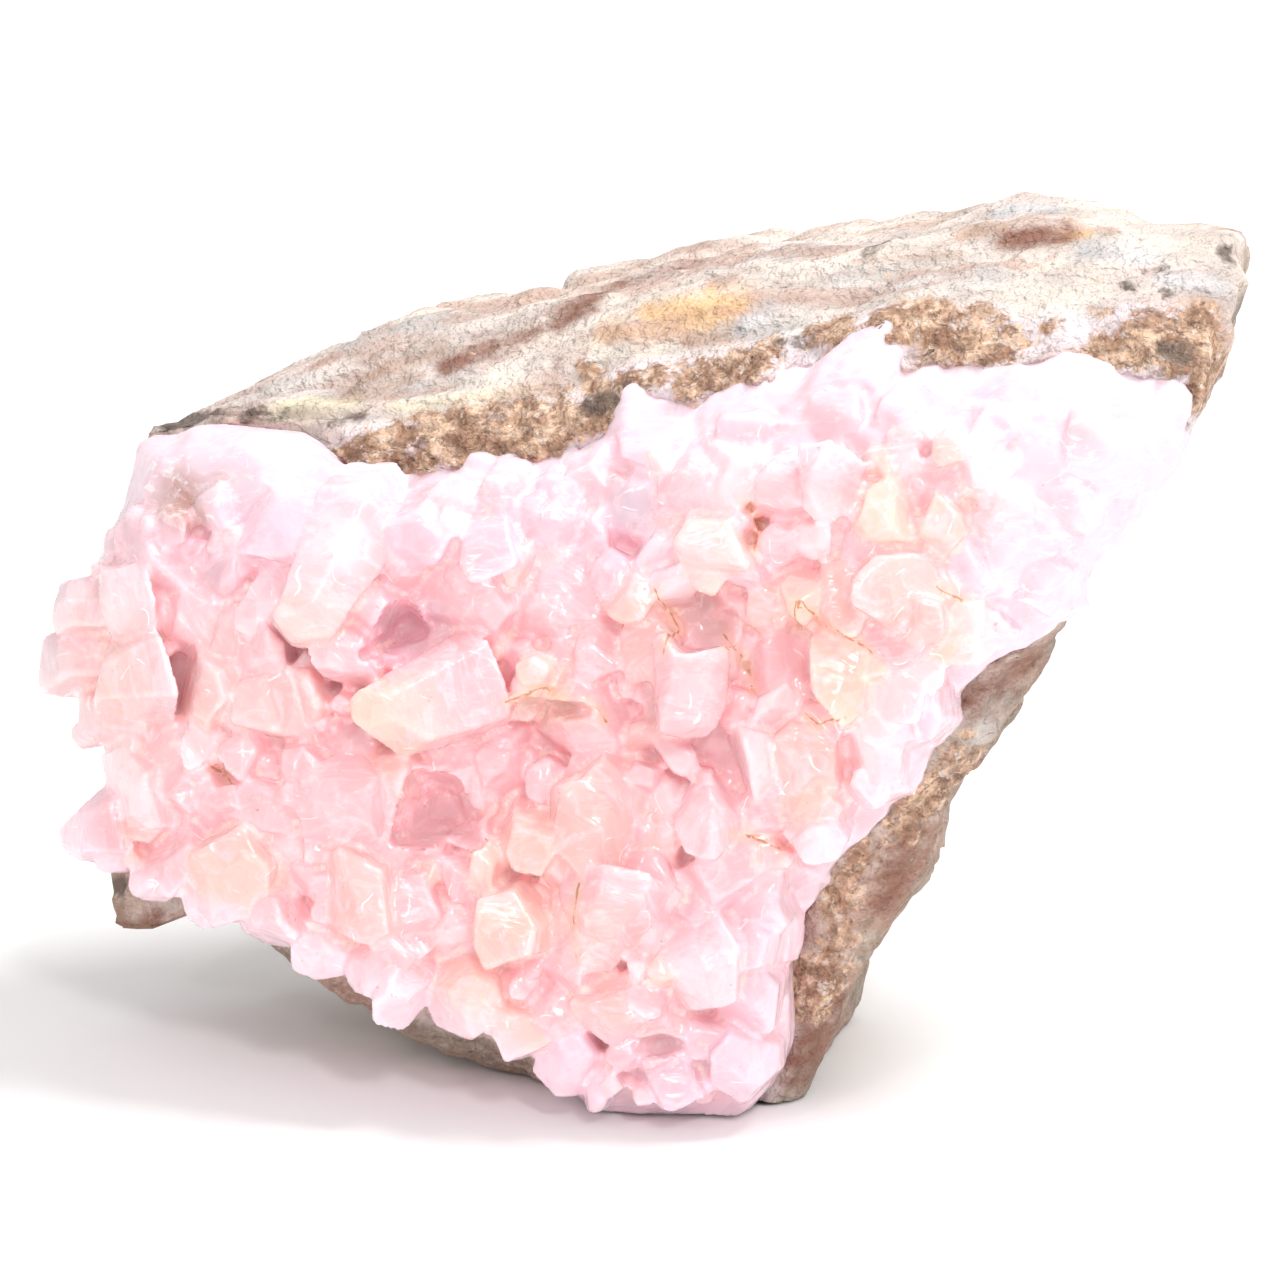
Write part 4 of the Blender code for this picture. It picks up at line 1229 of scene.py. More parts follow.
    def own_places(self, face: Array, ids: Array, made: list[PrismShape]) -> tuple:
        """Each point seen from the crystal that it belongs to.

        Args:
            face: Rows of u, v, h.
            ids: The crystal's number for each, or -1.
            made: Every crystal.

        Returns:
            Rows of places across and along the crystal, its share of the crystal's length,
            and a place of the crystal's own in the noise.
        """
        roots = np.array([shape.root for shape in made] + [np.zeros(3)])
        turns = np.array([shape.turned for shape in made] + [np.eye(3)])
        lengths = np.array([shape.length for shape in made] + [1.0])
        local = np.einsum("nji,nj->ni", turns[ids], face - roots[ids])
        own = np.stack([hashed(ids, ids + k) for k in range(3)], axis=1) * self.noise_reach
        return local, np.where(ids >= 0, local[:, 2] / lengths[ids], 0), own

    def refine(self, mesh: Mesh, made: list[PrismShape]) -> tuple:
        """Evens the skin out and gives it growth steps and breaks.

        One halfway move to the mean of the neighbours takes the stairs out of the skin. Points
        near a crystal's surface then move onto its planes, twice, which makes its faces flat
        again. On a crystal, noise with a flat tread between rises gives growth steps across
        its axis. The layer between crystals and the massive bands get broken relief.

        Args:
            mesh: The crust's mesh, still on the face.
            made: Every crystal.

        Returns:
            The new rows of u, v, h, the crystal's number for each, and its gap to the next.
        """
        ends = read_rows(mesh.edges, "vertices", 2, np.int64)
        face = read_rows(mesh.vertices, "co")
        front = ease(self.back + 0.3, self.back + 1.2, face[:, 2])[:, None]
        face += 0.5 * front * (neighbour_mean(face, ends) - face)
        for _ in range(2):
            ids, gaps, depth, looks = self.owners(face, made)
            close = (ids >= 0) & (np.abs(depth) < self.near_plane)
            move = np.where(close, np.clip(depth, -self.most_move, self.most_move), 0)
            face -= looks * (move * front[:, 0])[:, None]
        write_points(mesh, face)
        local, _, own = self.own_places(face, ids, made)
        local += own
        wave = 3.0 * rough(local / (1.5, 1.5, 0.8), 3.2, SEED + 120, 2)
        tread = np.floor(wave) + ease(0.38, 0.62, wave - np.floor(wave))
        fine = rough(local / (1.0, 1.0, 0.5), 0.9, SEED + 124, 2)
        massive = massive_share(face[:, 0], face[:, 1])
        loose = np.maximum(massive, np.where(ids < 0, 0.6, 0))
        coarse, sharp = self.break_heights
        broken = coarse * rough(face / (1.6, 1.0, 1.0), 1.5, SEED + 128, 3)
        broken += sharp * np.abs(rough(face / (2.2, 0.9, 1.0), 1.1, SEED + 130, 2))
        grown = self.step_height * tread + self.fine_height * fine
        height = (1 - loose) * grown + loose * broken
        face += read_rows(mesh.vertices, "normal") * (front[:, 0] * height)[:, None]
        face[:, 2] = np.maximum(face[:, 2], self.back)
        return face, ids, gaps

    def tints(self, face: Array, ends: Array, along: Array,
              tips: Array) -> Array:
        """The colour of each point.

        Every crystal goes from the body's colour at its root to its own tint at its tip, and
        the colour is then blurred over the points nearby. The body is pale on the massive
        bands, and the rim is paler still. Blurred stains come last; some of them are painted
        shade in the clefts and in a groove.

        Args:
            face: Rows of u, v, h.
            ends: Both points of every edge.
            along: 0 at the root of each point's crystal and 1 at its tip.
            tips: The tint of that tip.

        Returns:
            One colour for each row.
        """
        massive = massive_share(face[:, 0], face[:, 1])[:, None]
        swell = rough(face, 7.0, SEED + 90)[:, None]
        root_colour = np.array(self.root_tint) + swell * (0.01, 0.08, 0.06)
        patch = ease(0.0, 0.6, rough(face, 3.4, SEED + 92))[:, None]
        pale = np.array(self.band_tint) - patch * (0.04, 0.16, 0.09)
        body = root_colour + (pale - root_colour) * massive
        tint = body * (1 - along) + tips * along
        tint = neighbour_mean(tint, ends, 1)
        tint += (np.array(self.rim_tint) - tint) * 0.75 * self.rim(face)[:, None]
        ragged = 0.5 * rough(face, 1.6, SEED + 140)
        for u, v, half_u, half_v, colour, strength in STAINS_AND_CLEFT_SHADE:
            away = np.hypot((face[:, 0] - u) / half_u, (face[:, 1] - v) / half_v)
            tint += (np.array(colour) - tint) * (strength * ease(1.5, 0.3, away + ragged))[:, None]
        return tint

    @staticmethod
    def rim(face: Array) -> Array:
        """1 along the outline of the crust, and 0 from a few millimetres inside it."""
        return ease(3.2, 0.6, room_within(CRUST_OUTLINE, face))

    def relief_masks(self, mesh: Mesh, face: Array, ends: Array,
                     gaps: Array) -> Array:
        """Where the crust lies far back, for painted shade, and where it has creases and ridges,
        the ridges for a painted highlight.

        Creases and ridges come from how far a point lies off the mean of its neighbours,
        along its normal. A crease is also where two crystals touch.

        Args:
            mesh: The crust's mesh, in the world.
            face: Rows of u, v, h.
            ends: Both points of every edge.
            gaps: How near each point lies to the next crystal.

        Returns:
            Rows of painted shade in the depths, crease and ridge, each from 0 to 1.
        """
        world = read_rows(mesh.vertices, "co")
        off = neighbour_mean(world, ends) - world
        hollow = (off * read_rows(mesh.vertices, "normal")).sum(axis=1)
        hollow = neighbour_mean(hollow[:, None] / self.grain, ends, 1)[:, 0]
        contact = ease(0.35, 0.05, gaps) * ease(-0.04, 0.04, hollow)
        crease = np.maximum(contact, ease(0.05, 0.16, hollow))
        ridge = neighbour_mean(ease(0.03, 0.16, -hollow)[:, None], ends, 2)[:, 0]
        # Less painted shade in the depths on the left.
        recess_shade_share = 0.3 + 0.7 * ease(-30, -16, face[:, 0])
        recess_shade = self.recess_shade(face) * (1 - self.rim(face)) * recess_shade_share
        return np.stack([recess_shade, crease, ridge], axis=1)

    def recess_shade(self, face: Array) -> Array:
        """How far each point lies behind the front of the crystals round it, as a mask of
        painted shade.

        The front is the highest point in each cell of a square grid, widened to its
        neighbours three times and then averaged with them.

        Args:
            face: Rows of u, v, h.

        Returns:
            0 at the front and 1 in the depths.
        """
        low, size, cells = np.array([-48.0, -6.0]), 0.8, (110, 80)
        cell = np.clip(((face[:, :2] - low) / size).astype(int), 0, np.array(cells) - 1)
        front = np.full(cells, -8.0)
        np.maximum.at(front, (cell[:, 0], cell[:, 1]), face[:, 2])
        for blend in (np.max, np.mean):
            for _ in range(3):
                front = blend([np.roll(front, step, (0, 1)) for step in
                               itertools.product((-1, 0, 1), repeat=2)], axis=0)
        return ease(*self.recess_depths, front[cell[:, 0], cell[:, 1]] - face[:, 2])

    def zones(self, face: Array) -> Array:
        """Where the iron seams run, and where the crust is massive.

        Args:
            face: Rows of u, v, h.

        Returns:
            Rows of how near the nearest seam lies, on which side of it, and massiveness.
        """
        wander = np.stack([rough(face, 1.5, SEED + k) for k in (142, 144)], axis=1)
        drift = face[:, :2] + wander * self.seam_wander
        near, side = np.full(len(face), FAR), np.ones(len(face))
        for line in IRON_SEAMS:
            away, left = line_side(drift, line)
            side = np.where(away < near, left, side)
            near = np.minimum(near, away)
        near = np.clip(1 - near / self.seam_reach, 0, 1)
        side = np.clip(0.5 + side / (2 * self.seam_reach), 0, 1)
        return np.stack([near, side, massive_share(face[:, 0], face[:, 1])], axis=1)

    def paint(self, mesh: Mesh, made: list[PrismShape], ids: Array,
              gaps: Array) -> None:
        """Stores the colours, masks and growth directions that the finish reads.

        Args:
            mesh: The crust's mesh, in the world and in millimetres.
            made: Every crystal.
            ids: The crystal's number for each point.
            gaps: How near each point lies to the next crystal.
        """
        ends = read_rows(mesh.edges, "vertices", 2, np.int64)
        face = FACE.to_face(read_rows(mesh.vertices, "co"))
        face[:, 2] -= FACE.bend(face[:, 0])
        _, share, _ = self.own_places(face, ids, made)
        along = np.where(ids >= 0, ease(0.25, 1.0, share), 0)[:, None]
        tips = np.array([shape.prism.tint.value for shape in made] + [self.layer_tint])[ids]
        write_colours(mesh, "tint", self.tints(face, ends, along, tips))
        # The marks hold painted shade for the depths, the creases, and the ridges for a painted
        # highlight.
        write_colours(mesh, "marks", self.relief_masks(mesh, face, ends, gaps))
        write_colours(mesh, "zones", self.zones(face))

        loops = read_rows(mesh.loops, "vertex_index", 1, np.int64)[:, 0]
        starts = read_rows(mesh.polygons, "loop_start", 1, np.int64)[:, 0]
        counts = np.diff(np.append(starts, len(loops)))
        owner = np.repeat(ids[loops[starts]], counts)
        local, _, own = self.own_places(face[loops], owner, made)
        grown = mesh.attributes.new("grown", "FLOAT_VECTOR", "CORNER")
        grown.data.foreach_set("vector", ((local + own) * MM).ravel())

    def build(self) -> Object:
        """Makes, fuses, refines, paints and places the crust.

        Returns:
            The finished object.
        """
        scene = bpy.context.scene.collection
        grown, clefts = (bpy.data.collections.new(name) for name in ("growth", "clefts"))
        for home in (grown, clefts):
            scene.children.link(home)
        layer = self.layer(scene)
        made = self.grow(grown)
        self.open_clefts(clefts)
        log.info("crust: %d crystals", len(made))
        self.fuse(layer, grown, clefts)
        mesh = layer.data
        self.trim(mesh)
        face, ids, gaps = self.refine(mesh, made)
        face[:, 2] += FACE.bend(face[:, 0])
        world = FACE.to_world(face)
        world[:, 2] = np.maximum(world[:, 2], 0)
        write_points(mesh, world)
        self.paint(mesh, made, ids, gaps)
        write_points(mesh, read_rows(mesh.vertices, "co") * MM)
        mesh.shade_smooth()
        layer.name = "calcite_crystals"
        log.info("crust: %d corners", len(mesh.loops))
        return layer


class RockTint(Enum):
    """Colours found on the rock."""

    CREAM = (0.82, 0.73, 0.64)
    GREY = (0.71, 0.66, 0.63)
    BLUE_GREY = (0.64, 0.62, 0.63)
    YELLOW = (0.84, 0.73, 0.53)
    ORANGE = (0.92, 0.58, 0.30)
    TAN = (0.57, 0.38, 0.29)


# Coloured marks on the rock: u, v, h of both ends, half width, strength and tint.
TINT_MARKS = (
    (-31.8, 39.9, -8.9, -28.6, 40.4, -7.5, 0.55, 0.6, RockTint.TAN),
    (-26.9, 40.7, -7.6, -22.4, 41.4, -7.9, 0.6, 0.9, RockTint.YELLOW),
    (-23.1, 41.9, -9.3, -21.3, 43.4, -10.6, 0.6, 0.85, RockTint.TAN),
    (-21.5, 43.2, -10.4, -17.5, 44.6, -10.8, 0.65, 0.85, RockTint.TAN),
    (-22, 41.8, -8.7, -18.4, 43.1, -9.3, 0.35, 0.7, RockTint.TAN),
    (-26.4, 43, -13.2, -24.8, 44.1, -14.2, 0.25, 0.6, RockTint.TAN),
    (-18.6, 42, -7.8, -15, 43.2, -8.4, 0.65, 0.8, RockTint.BLUE_GREY),
    (-24.4, 44.5, -15.2, -18.9, 46.3, -16.1, 0.7, 0.8, RockTint.GREY),
    (-19.1, 41.2, -7.5, -10.3, 42.9, -7.3, 0.45, 0.7, RockTint.YELLOW),
    (-16.8, 42.5, -8.1, -11.7, 43.8, -7.8, 0.45, 0.9, RockTint.CREAM),
    (-0.6, 49.6, -11.2, 0.6, 50, -11.3, 0.4, 0.9, RockTint.TAN),
    (-3.9, 47.6, -8.9, 1.6, 48.5, -8, 0.95, 1, RockTint.ORANGE),
    (-6.5, 46.4, -8.3, -0.5, 47.3, -7.6, 0.8, 0.7, RockTint.ORANGE),
    (-6.7, 45.2, -7.5, -1, 45.9, -7.1, 0.6, 0.9, RockTint.CREAM),
    (-1.1, 46.3, -7.3, 2.7, 46.8, -7.2, 0.35, 0.85, RockTint.TAN),
    (2.3, 47.4, -7.4, 3.6, 48.5, -7.8, 0.65, 0.9, RockTint.BLUE_GREY),
    (3.3, 46.9, -7.1, 5.9, 47.7, -7.2, 0.6, 0.8, RockTint.GREY),
    (-10.1, 50.8, -25, -4.1, 51.8, -24.5, 0.45, 0.5, RockTint.TAN),
    (7.9, 51.4, -12.3, 14.6, 52.2, -12, 0.2, 0.85, RockTint.TAN),
    (14.4, 53.4, -14.3, 16.9, 53.9, -14, 0.48, 0.9, RockTint.TAN),
    (20.9, 53.7, -12.7, 22.1, 53.9, -12.8, 0.36, 1, RockTint.ORANGE),
    (21.6, 54.2, -14.8, 23.8, 54, -12.9, 0.28, 0.8, RockTint.TAN),
    (16, 54.7, -18.3, 19.8, 55, -17.4, 0.5, 0.9, RockTint.BLUE_GREY),
    (22.4, 52.8, -10.8, 26.4, 52.7, -10.4, 0.6, 0.8, RockTint.BLUE_GREY),
    (27.8, 51.5, -8.4, 31, 51.2, -7.7, 0.7, 0.9, RockTint.BLUE_GREY),
    (6.9, 50, -10.6, 16.9, 51.1, -9.3, 1, 0.8, RockTint.GREY),
    (18.8, 49.2, -7.2, 22.6, 50, -7.4, 1.3, 0.9, RockTint.CREAM),
    (27, 49.9, -7.2, 30.3, 50.3, -7.4, 0.5, 0.8, RockTint.TAN),
    (22.5, 30.6, -7.1, 24.6, 33.5, -7, 0.7, 0.6, RockTint.CREAM),
    (17.4, 22.7, -7.4, 19.1, 25.2, -7.5, 0.6, 0.6, RockTint.GREY),
    (7.9, 8.4, -6.8, 8.6, 8.9, -6.9, 0.55, 0.8, RockTint.ORANGE),
)

# The granular brown rim, the umber stains and the black pits, given in the same way but
# without a tint.
RIM_MARKS = (
    (-24.4, 37, -6.9, -20.6, 38.7, -6.7, 0.55, 1),
    (-20.6, 38.7, -6.7, -14.5, 40.2, -6.8, 0.8, 1),
    (-20, 37.4, -6.5, -16.9, 38.5, -6.5, 0.8, 1),
    (-14.5, 40.4, -6.9, -8.8, 41.2, -6.8, 0.9, 1),
    (-13.7, 38.9, -6.5, -8.7, 40, -6.5, 0.8, 1),
    (-8.8, 40.9, -6.7, -5.5, 41.2, -6.5, 0.8, 1),
    (-7, 43.7, -7.1, -5.7, 42.9, -6.7, 0.6, 1),
    (-4.7, 43.4, -6.6, -2.4, 44.1, -6.6, 0.55, 1),
    (-0.5, 43.9, -6.5, 2.4, 44.5, -6.5, 0.75, 1),
    (2.4, 45.2, -6.7, 4.6, 46, -6.7, 0.6, 1),
    (6.8, 46.8, -6.8, 8.9, 47.7, -6.7, 0.45, 0.9),
    (11.5, 48, -6.7, 14.6, 48.5, -6.9, 0.8, 1),
    (14.8, 47, -6.6, 18.3, 46.9, -6.6, 0.95, 1),
    (16.4, 49.1, -7.2, 18.3, 48.7, -7, 0.35, 0.8),
    (21.1, 48.3, -6.8, 21.9, 48.8, -6.8, 0.28, 0.7),
    (24.4, 47.2, -6.6, 26.6, 47.1, -6.5, 0.62, 0.95),
    (27, 48.1, -6.7, 30, 47.3, -7.1, 1.05, 1),
    (23.4, 49.5, -7.2, 24.9, 49.4, -7.1, 0.3, 0.7),
    (30.3, 49.4, -7.4, 31.2, 45.9, -7.6, 0.6, 1),
    (29.9, 44.2, -6.8, 30.8, 46, -6.8, 0.5, 1),
    (13.4, 17.9, -6.9, 17.2, 21.8, -9, 0.95, 0.8),
    (9.8, 12.7, -6.8, 12, 15.9, -6.8, 0.9, 0.8),
    (8.2, 6.4, -6.8, 10.3, 10.5, -6.9, 0.9, 0.9),
)
UMBER_MARKS = (
    (-16.9, 43.8, -9.9, -14.2, 44.9, -10.3, 0.6, 0.95),
    (-14.2, 44.9, -10.3, -11.6, 46.3, -11.3, 0.42, 0.75),
    (-11.9, 45.7, -10.4, -10.1, 46.8, -11.2, 0.32, 0.6),
    (-10.2, 47.1, -11.6, -8.4, 48.2, -12.4, 0.6, 1),
    (-8.5, 48.4, -12.6, -7.2, 49.5, -15.5, 0.38, 0.85),
    (-7.2, 49.5, -15.5, -2.7, 50.7, -17.8, 0.3, 0.55),
    (-9.3, 44.7, -7.9, -8.3, 45.3, -8, 0.42, 0.6),
    (17.4, 53.3, -12.6, 20.9, 53.8, -12.9, 0.52, 1),
    (17.6, 25.8, -6.8, 20.8, 28.4, -7.2, 0.9, 0.8),
    (12.6, 12.5, -7.6, 14.3, 17.3, -7.3, 0.8, 0.8),
    (7.8, 2.3, -7.1, 9.8, 6.4, -7.6, 0.9, 0.9),
    (-38.4, 7.4, -8.6, -34.2, 7.5, -7.8, 0.8, 0.9),
)
PIT_MARKS = (
    (-35, 39.2, -7.7, -32.8, 39.9, -8, 0.6, 1),
    (-32.6, 39.9, -8, -28.6, 40.2, -7.9, 0.5, 0.9),
    (-27.8, 40.2, -7.9, -25.4, 40.4, -8.1, 0.4, 0.8),
    (-23.2, 39.9, -7.3, -21.2, 40.3, -7.3, 0.35, 0.8),
    (-6.8, 42.2, -6.7, -5.1, 42.7, -6.6, 0.45, 0.9),
    (-4.4, 43.5, -6.6, -3, 43.9, -6.6, 0.28, 0.8),
    (4.9, 46.4, -6.8, 6.3, 46.6, -6.8, 0.4, 0.9),
    (8.6, 52.1, -13, 10.1, 52.8, -14.9, 0.35, 0.8),
    (31, 53.4, -11.5, 32.2, 52.6, -9, 0.5, 1),
    (26.1, 51.8, -8.7, 27.6, 52, -9.1, 0.22, 0.7),
    (25.3, 51, -7.6, 25.9, 50.8, -7.6, 0.24, 1),
    (27.8, 50.7, -7.5, 28.3, 50.4, -7.4, 0.24, 1),
    (28.1, 47.4, -6.6, 29.5, 47.2, -6.9, 0.5, 0.9),
    (-38.6, 9.4, -7.6, -37.2, 9.6, -7.1, 0.5, 0.8),
)


@dataclass(frozen=True)
class Cloud:
    """A layer of cloudy noise: its waves for each metre, and where it shows how strongly."""

    scale: float
    low: float
    high: float
    strength: float = 1.0
    detail: float = 3.0
    rough: float = 0.7
    warp: float = 0.0
    turn: Colour = (0.0, 0.0, 0.0)
    size: Colour = (1.0, 1.0, 1.0)


class Nodes:
    """Short ways to place and link the nodes of one tree."""

    def __init__(self, tree: NodeTree) -> None:
        """Keeps the tree."""
        self.tree = tree

    def feed(self, socket: Socket, value: Input) -> None:
        """Links an output to an input, or sets the input to a plain value.

        Args:
            socket: The input.
            value: An output, a number, a colour or a place.
        """
        if isinstance(value, Socket):
            self.tree.links.new(value, socket)
        elif socket.type == "RGBA":
            socket.default_value = (*value, 1.0)
        else:
            socket.default_value = value

    def add(self, kind: str, values: dict[str, Input] | None = None,
            **settings: object) -> Node:
        """Places a node.

        Args:
            kind: What node it is.
            values: What each of its inputs is fed, by name.
            settings: Its properties.

        Returns:
            The node.
        """
        node = self.tree.nodes.new(kind)
        for name, value in settings.items():
            setattr(node, name, value)
        for name, value in (values or {}).items():
            self.feed(node.inputs[name], value)
        return node

    def math(self, operation: str, *values: Input) -> Socket:
        """One sum of up to three numbers.

        Args:
            operation: The kind of sum.
            values: The numbers, in order.

        Returns:
            The result.
        """
        node = self.add("ShaderNodeMath", operation=operation)
        for socket, value in zip(node.inputs, values):
            self.feed(socket, value)
        return node.outputs[0]

    def times(self, first: Input, second: Input) -> Socket:
        """The product of two numbers."""
        return self.math("MULTIPLY", first, second)

    def off(self, value: Input) -> Socket:
        """How far a value lies from a half, either way."""
        return self.math("ABSOLUTE", self.math("SUBTRACT", value, 0.5))

    def remap(self, value: Input, low: float, high: float, to_low: float = 0.0,
              to_high: float = 1.0) -> Socket:
        """A smooth step of a value from one range to another."""
        return self.add("ShaderNodeMapRange", {
            "Value": value, "From Min": low, "From Max": high, "To Min": to_low,
            "To Max": to_high,
        }, interpolation_type="SMOOTHSTEP").outputs["Result"]

    def mix(self, share: Input, first: Input, second: Input, blend: str = "MIX") -> Socket:
        """A blend of two colours.

        Args:
            share: How much of the second there is.
            first: One colour.
            second: The other colour.
            blend: The kind of blend.

        Returns:
            The new colour.
        """
        node = self.add("ShaderNodeMix", data_type="RGBA", blend_type=blend, clamp_factor=True)
        for index, value in ((0, share), (6, first), (7, second)):
            self.feed(node.inputs[index], value)
        return node.outputs[2]

    def shaded(self, colour: Input, value: Input, low: float, high: float) -> Socket:
        """A colour times a grey.

        Args:
            colour: The colour.
            value: A pattern from 0 to 1.
            low: The grey where the pattern is 0.
            high: The grey where it is 1.

        Returns:
            The new colour.
        """
        shade = self.remap(value, 0.0, 1.0, low, high)
        grey = self.add("ShaderNodeCombineColor", dict.fromkeys(("Red", "Green", "Blue"), shade))
        return self.mix(1.0, colour, grey.outputs[0], "MULTIPLY")

    def noise(self, place: Input, scale: Input, detail: float, rough: float = 0.55,
              warp: float = 0.0) -> Socket:
        """Cloudy noise from 0 to 1, with so many waves for each metre."""
        return self.add("ShaderNodeTexNoise", {
            "Vector": place, "Scale": scale, "Detail": detail, "Roughness": rough,
            "Distortion": warp,
        }).outputs["Fac"]

    def cloud(self, place: Input, layer: Cloud) -> Socket:
        """How strongly a layer of noise shows.

        Args:
            place: Where it is read.
            layer: The layer.

        Returns:
            From 0 to the layer's strength.
        """
        if layer.size != Cloud.size:
            place = self.stretch(place, layer.turn, layer.size)
        noise = self.noise(place, layer.scale, layer.detail, layer.rough, layer.warp)
        return self.remap(noise, layer.low, layer.high, 0.0, layer.strength)

    def patches(self, place: Input, scale: float) -> Socket:
        """One random value for each cell of a broken pattern."""
        cells = self.add("ShaderNodeTexVoronoi", {"Vector": place, "Scale": scale})
        return self.split(cells.outputs["Color"])[0]

    def stretch(self, place: Input, turn: Colour, size: Colour) -> Socket:
        """Turned and stretched coordinates."""
        values = {"Vector": place, "Rotation": turn, "Scale": size}
        return self.add("ShaderNodeMapping", values).outputs["Vector"]

    def attribute(self, name: str) -> Node:
        """The node that reads a piece's own attribute."""
        return self.add("ShaderNodeAttribute", attribute_name=name)

    def split(self, colour: Input) -> tuple[Socket, ...]:
        """The three parts of a colour."""
        return tuple(self.add("ShaderNodeSeparateColor", {"Color": colour}).outputs[:3])

    def bump(self, height: Input, strength: float, depth: float,
             under: Socket | None = None) -> Socket:
        """A normal bent by a height.

        Args:
            height: A pattern from 0 to 1.
            strength: How much of the bend counts.
            depth: The height of a 1, in metres.
            under: The normal that is bent, if another than the surface's.

        Returns:
            The new normal.
        """
        values = {"Height": height, "Strength": strength, "Distance": depth}
        if under is not None:
            values["Normal"] = under
        return self.add("ShaderNodeBump", values).outputs["Normal"]


def make_mottle() -> NodeTree:
    """The node group that both materials use: two sizes of noise with more contrast.

    Each is stretched away from the middle by the contrast. The height is the broad noise and
    0.35 of the fine noise.

    Returns:
        The group.
    """
    group = bpy.data.node_groups.new("mottle", "ShaderNodeTree")
    group.interface.new_socket("Place", in_out="INPUT", socket_type="NodeSocketVector")
    for name in ("Scale", "Contrast"):
        group.interface.new_socket(name, in_out="INPUT", socket_type="NodeSocketFloat")
    for name in ("Broad", "Fine", "Height"):
        group.interface.new_socket(name, in_out="OUTPUT", socket_type="NodeSocketFloat")
    nodes = Nodes(group)
    given = nodes.add("NodeGroupInput").outputs
    broad = nodes.noise(given["Place"], given["Scale"], 3.0, 0.5)
    fine = nodes.noise(given["Place"], nodes.times(given["Scale"], 4.7), 3.0, 0.6)
    result = {"Height": nodes.math("MULTIPLY_ADD", fine, 0.35, broad)}
    for name, value in (("Broad", broad), ("Fine", fine)):
        away = nodes.math("SUBTRACT", value, 0.5)
        strong = nodes.math("MULTIPLY_ADD", away, given["Contrast"], 0.5)
        result[name] = nodes.remap(strong, 0.0, 1.0)
    nodes.add("NodeGroupOutput", result)
    return group


@dataclass(frozen=True)
class Finish:
    """What the finishes share: their material and the noise group."""

    name: str
    mottle: NodeTree | None = None

    def start(self) -> tuple[Material, Nodes, Node]:
        """Starts a node material.

        Returns:
            The material, its helper and its Principled shader.
        """
        material = bpy.data.materials.new(self.name)
        material.use_nodes = True
        tree = material.node_tree
        return material, Nodes(tree), tree.nodes["Principled BSDF"]

    def mottled(self, nodes: Nodes, place: Socket, scale: float, contrast: float) -> dict:
        """Places the mottle group with its own values, and gives its outputs by name."""
        values = {"Place": place, "Scale": scale, "Contrast": contrast}
        return nodes.add("ShaderNodeGroup", values, node_tree=self.mottle).outputs


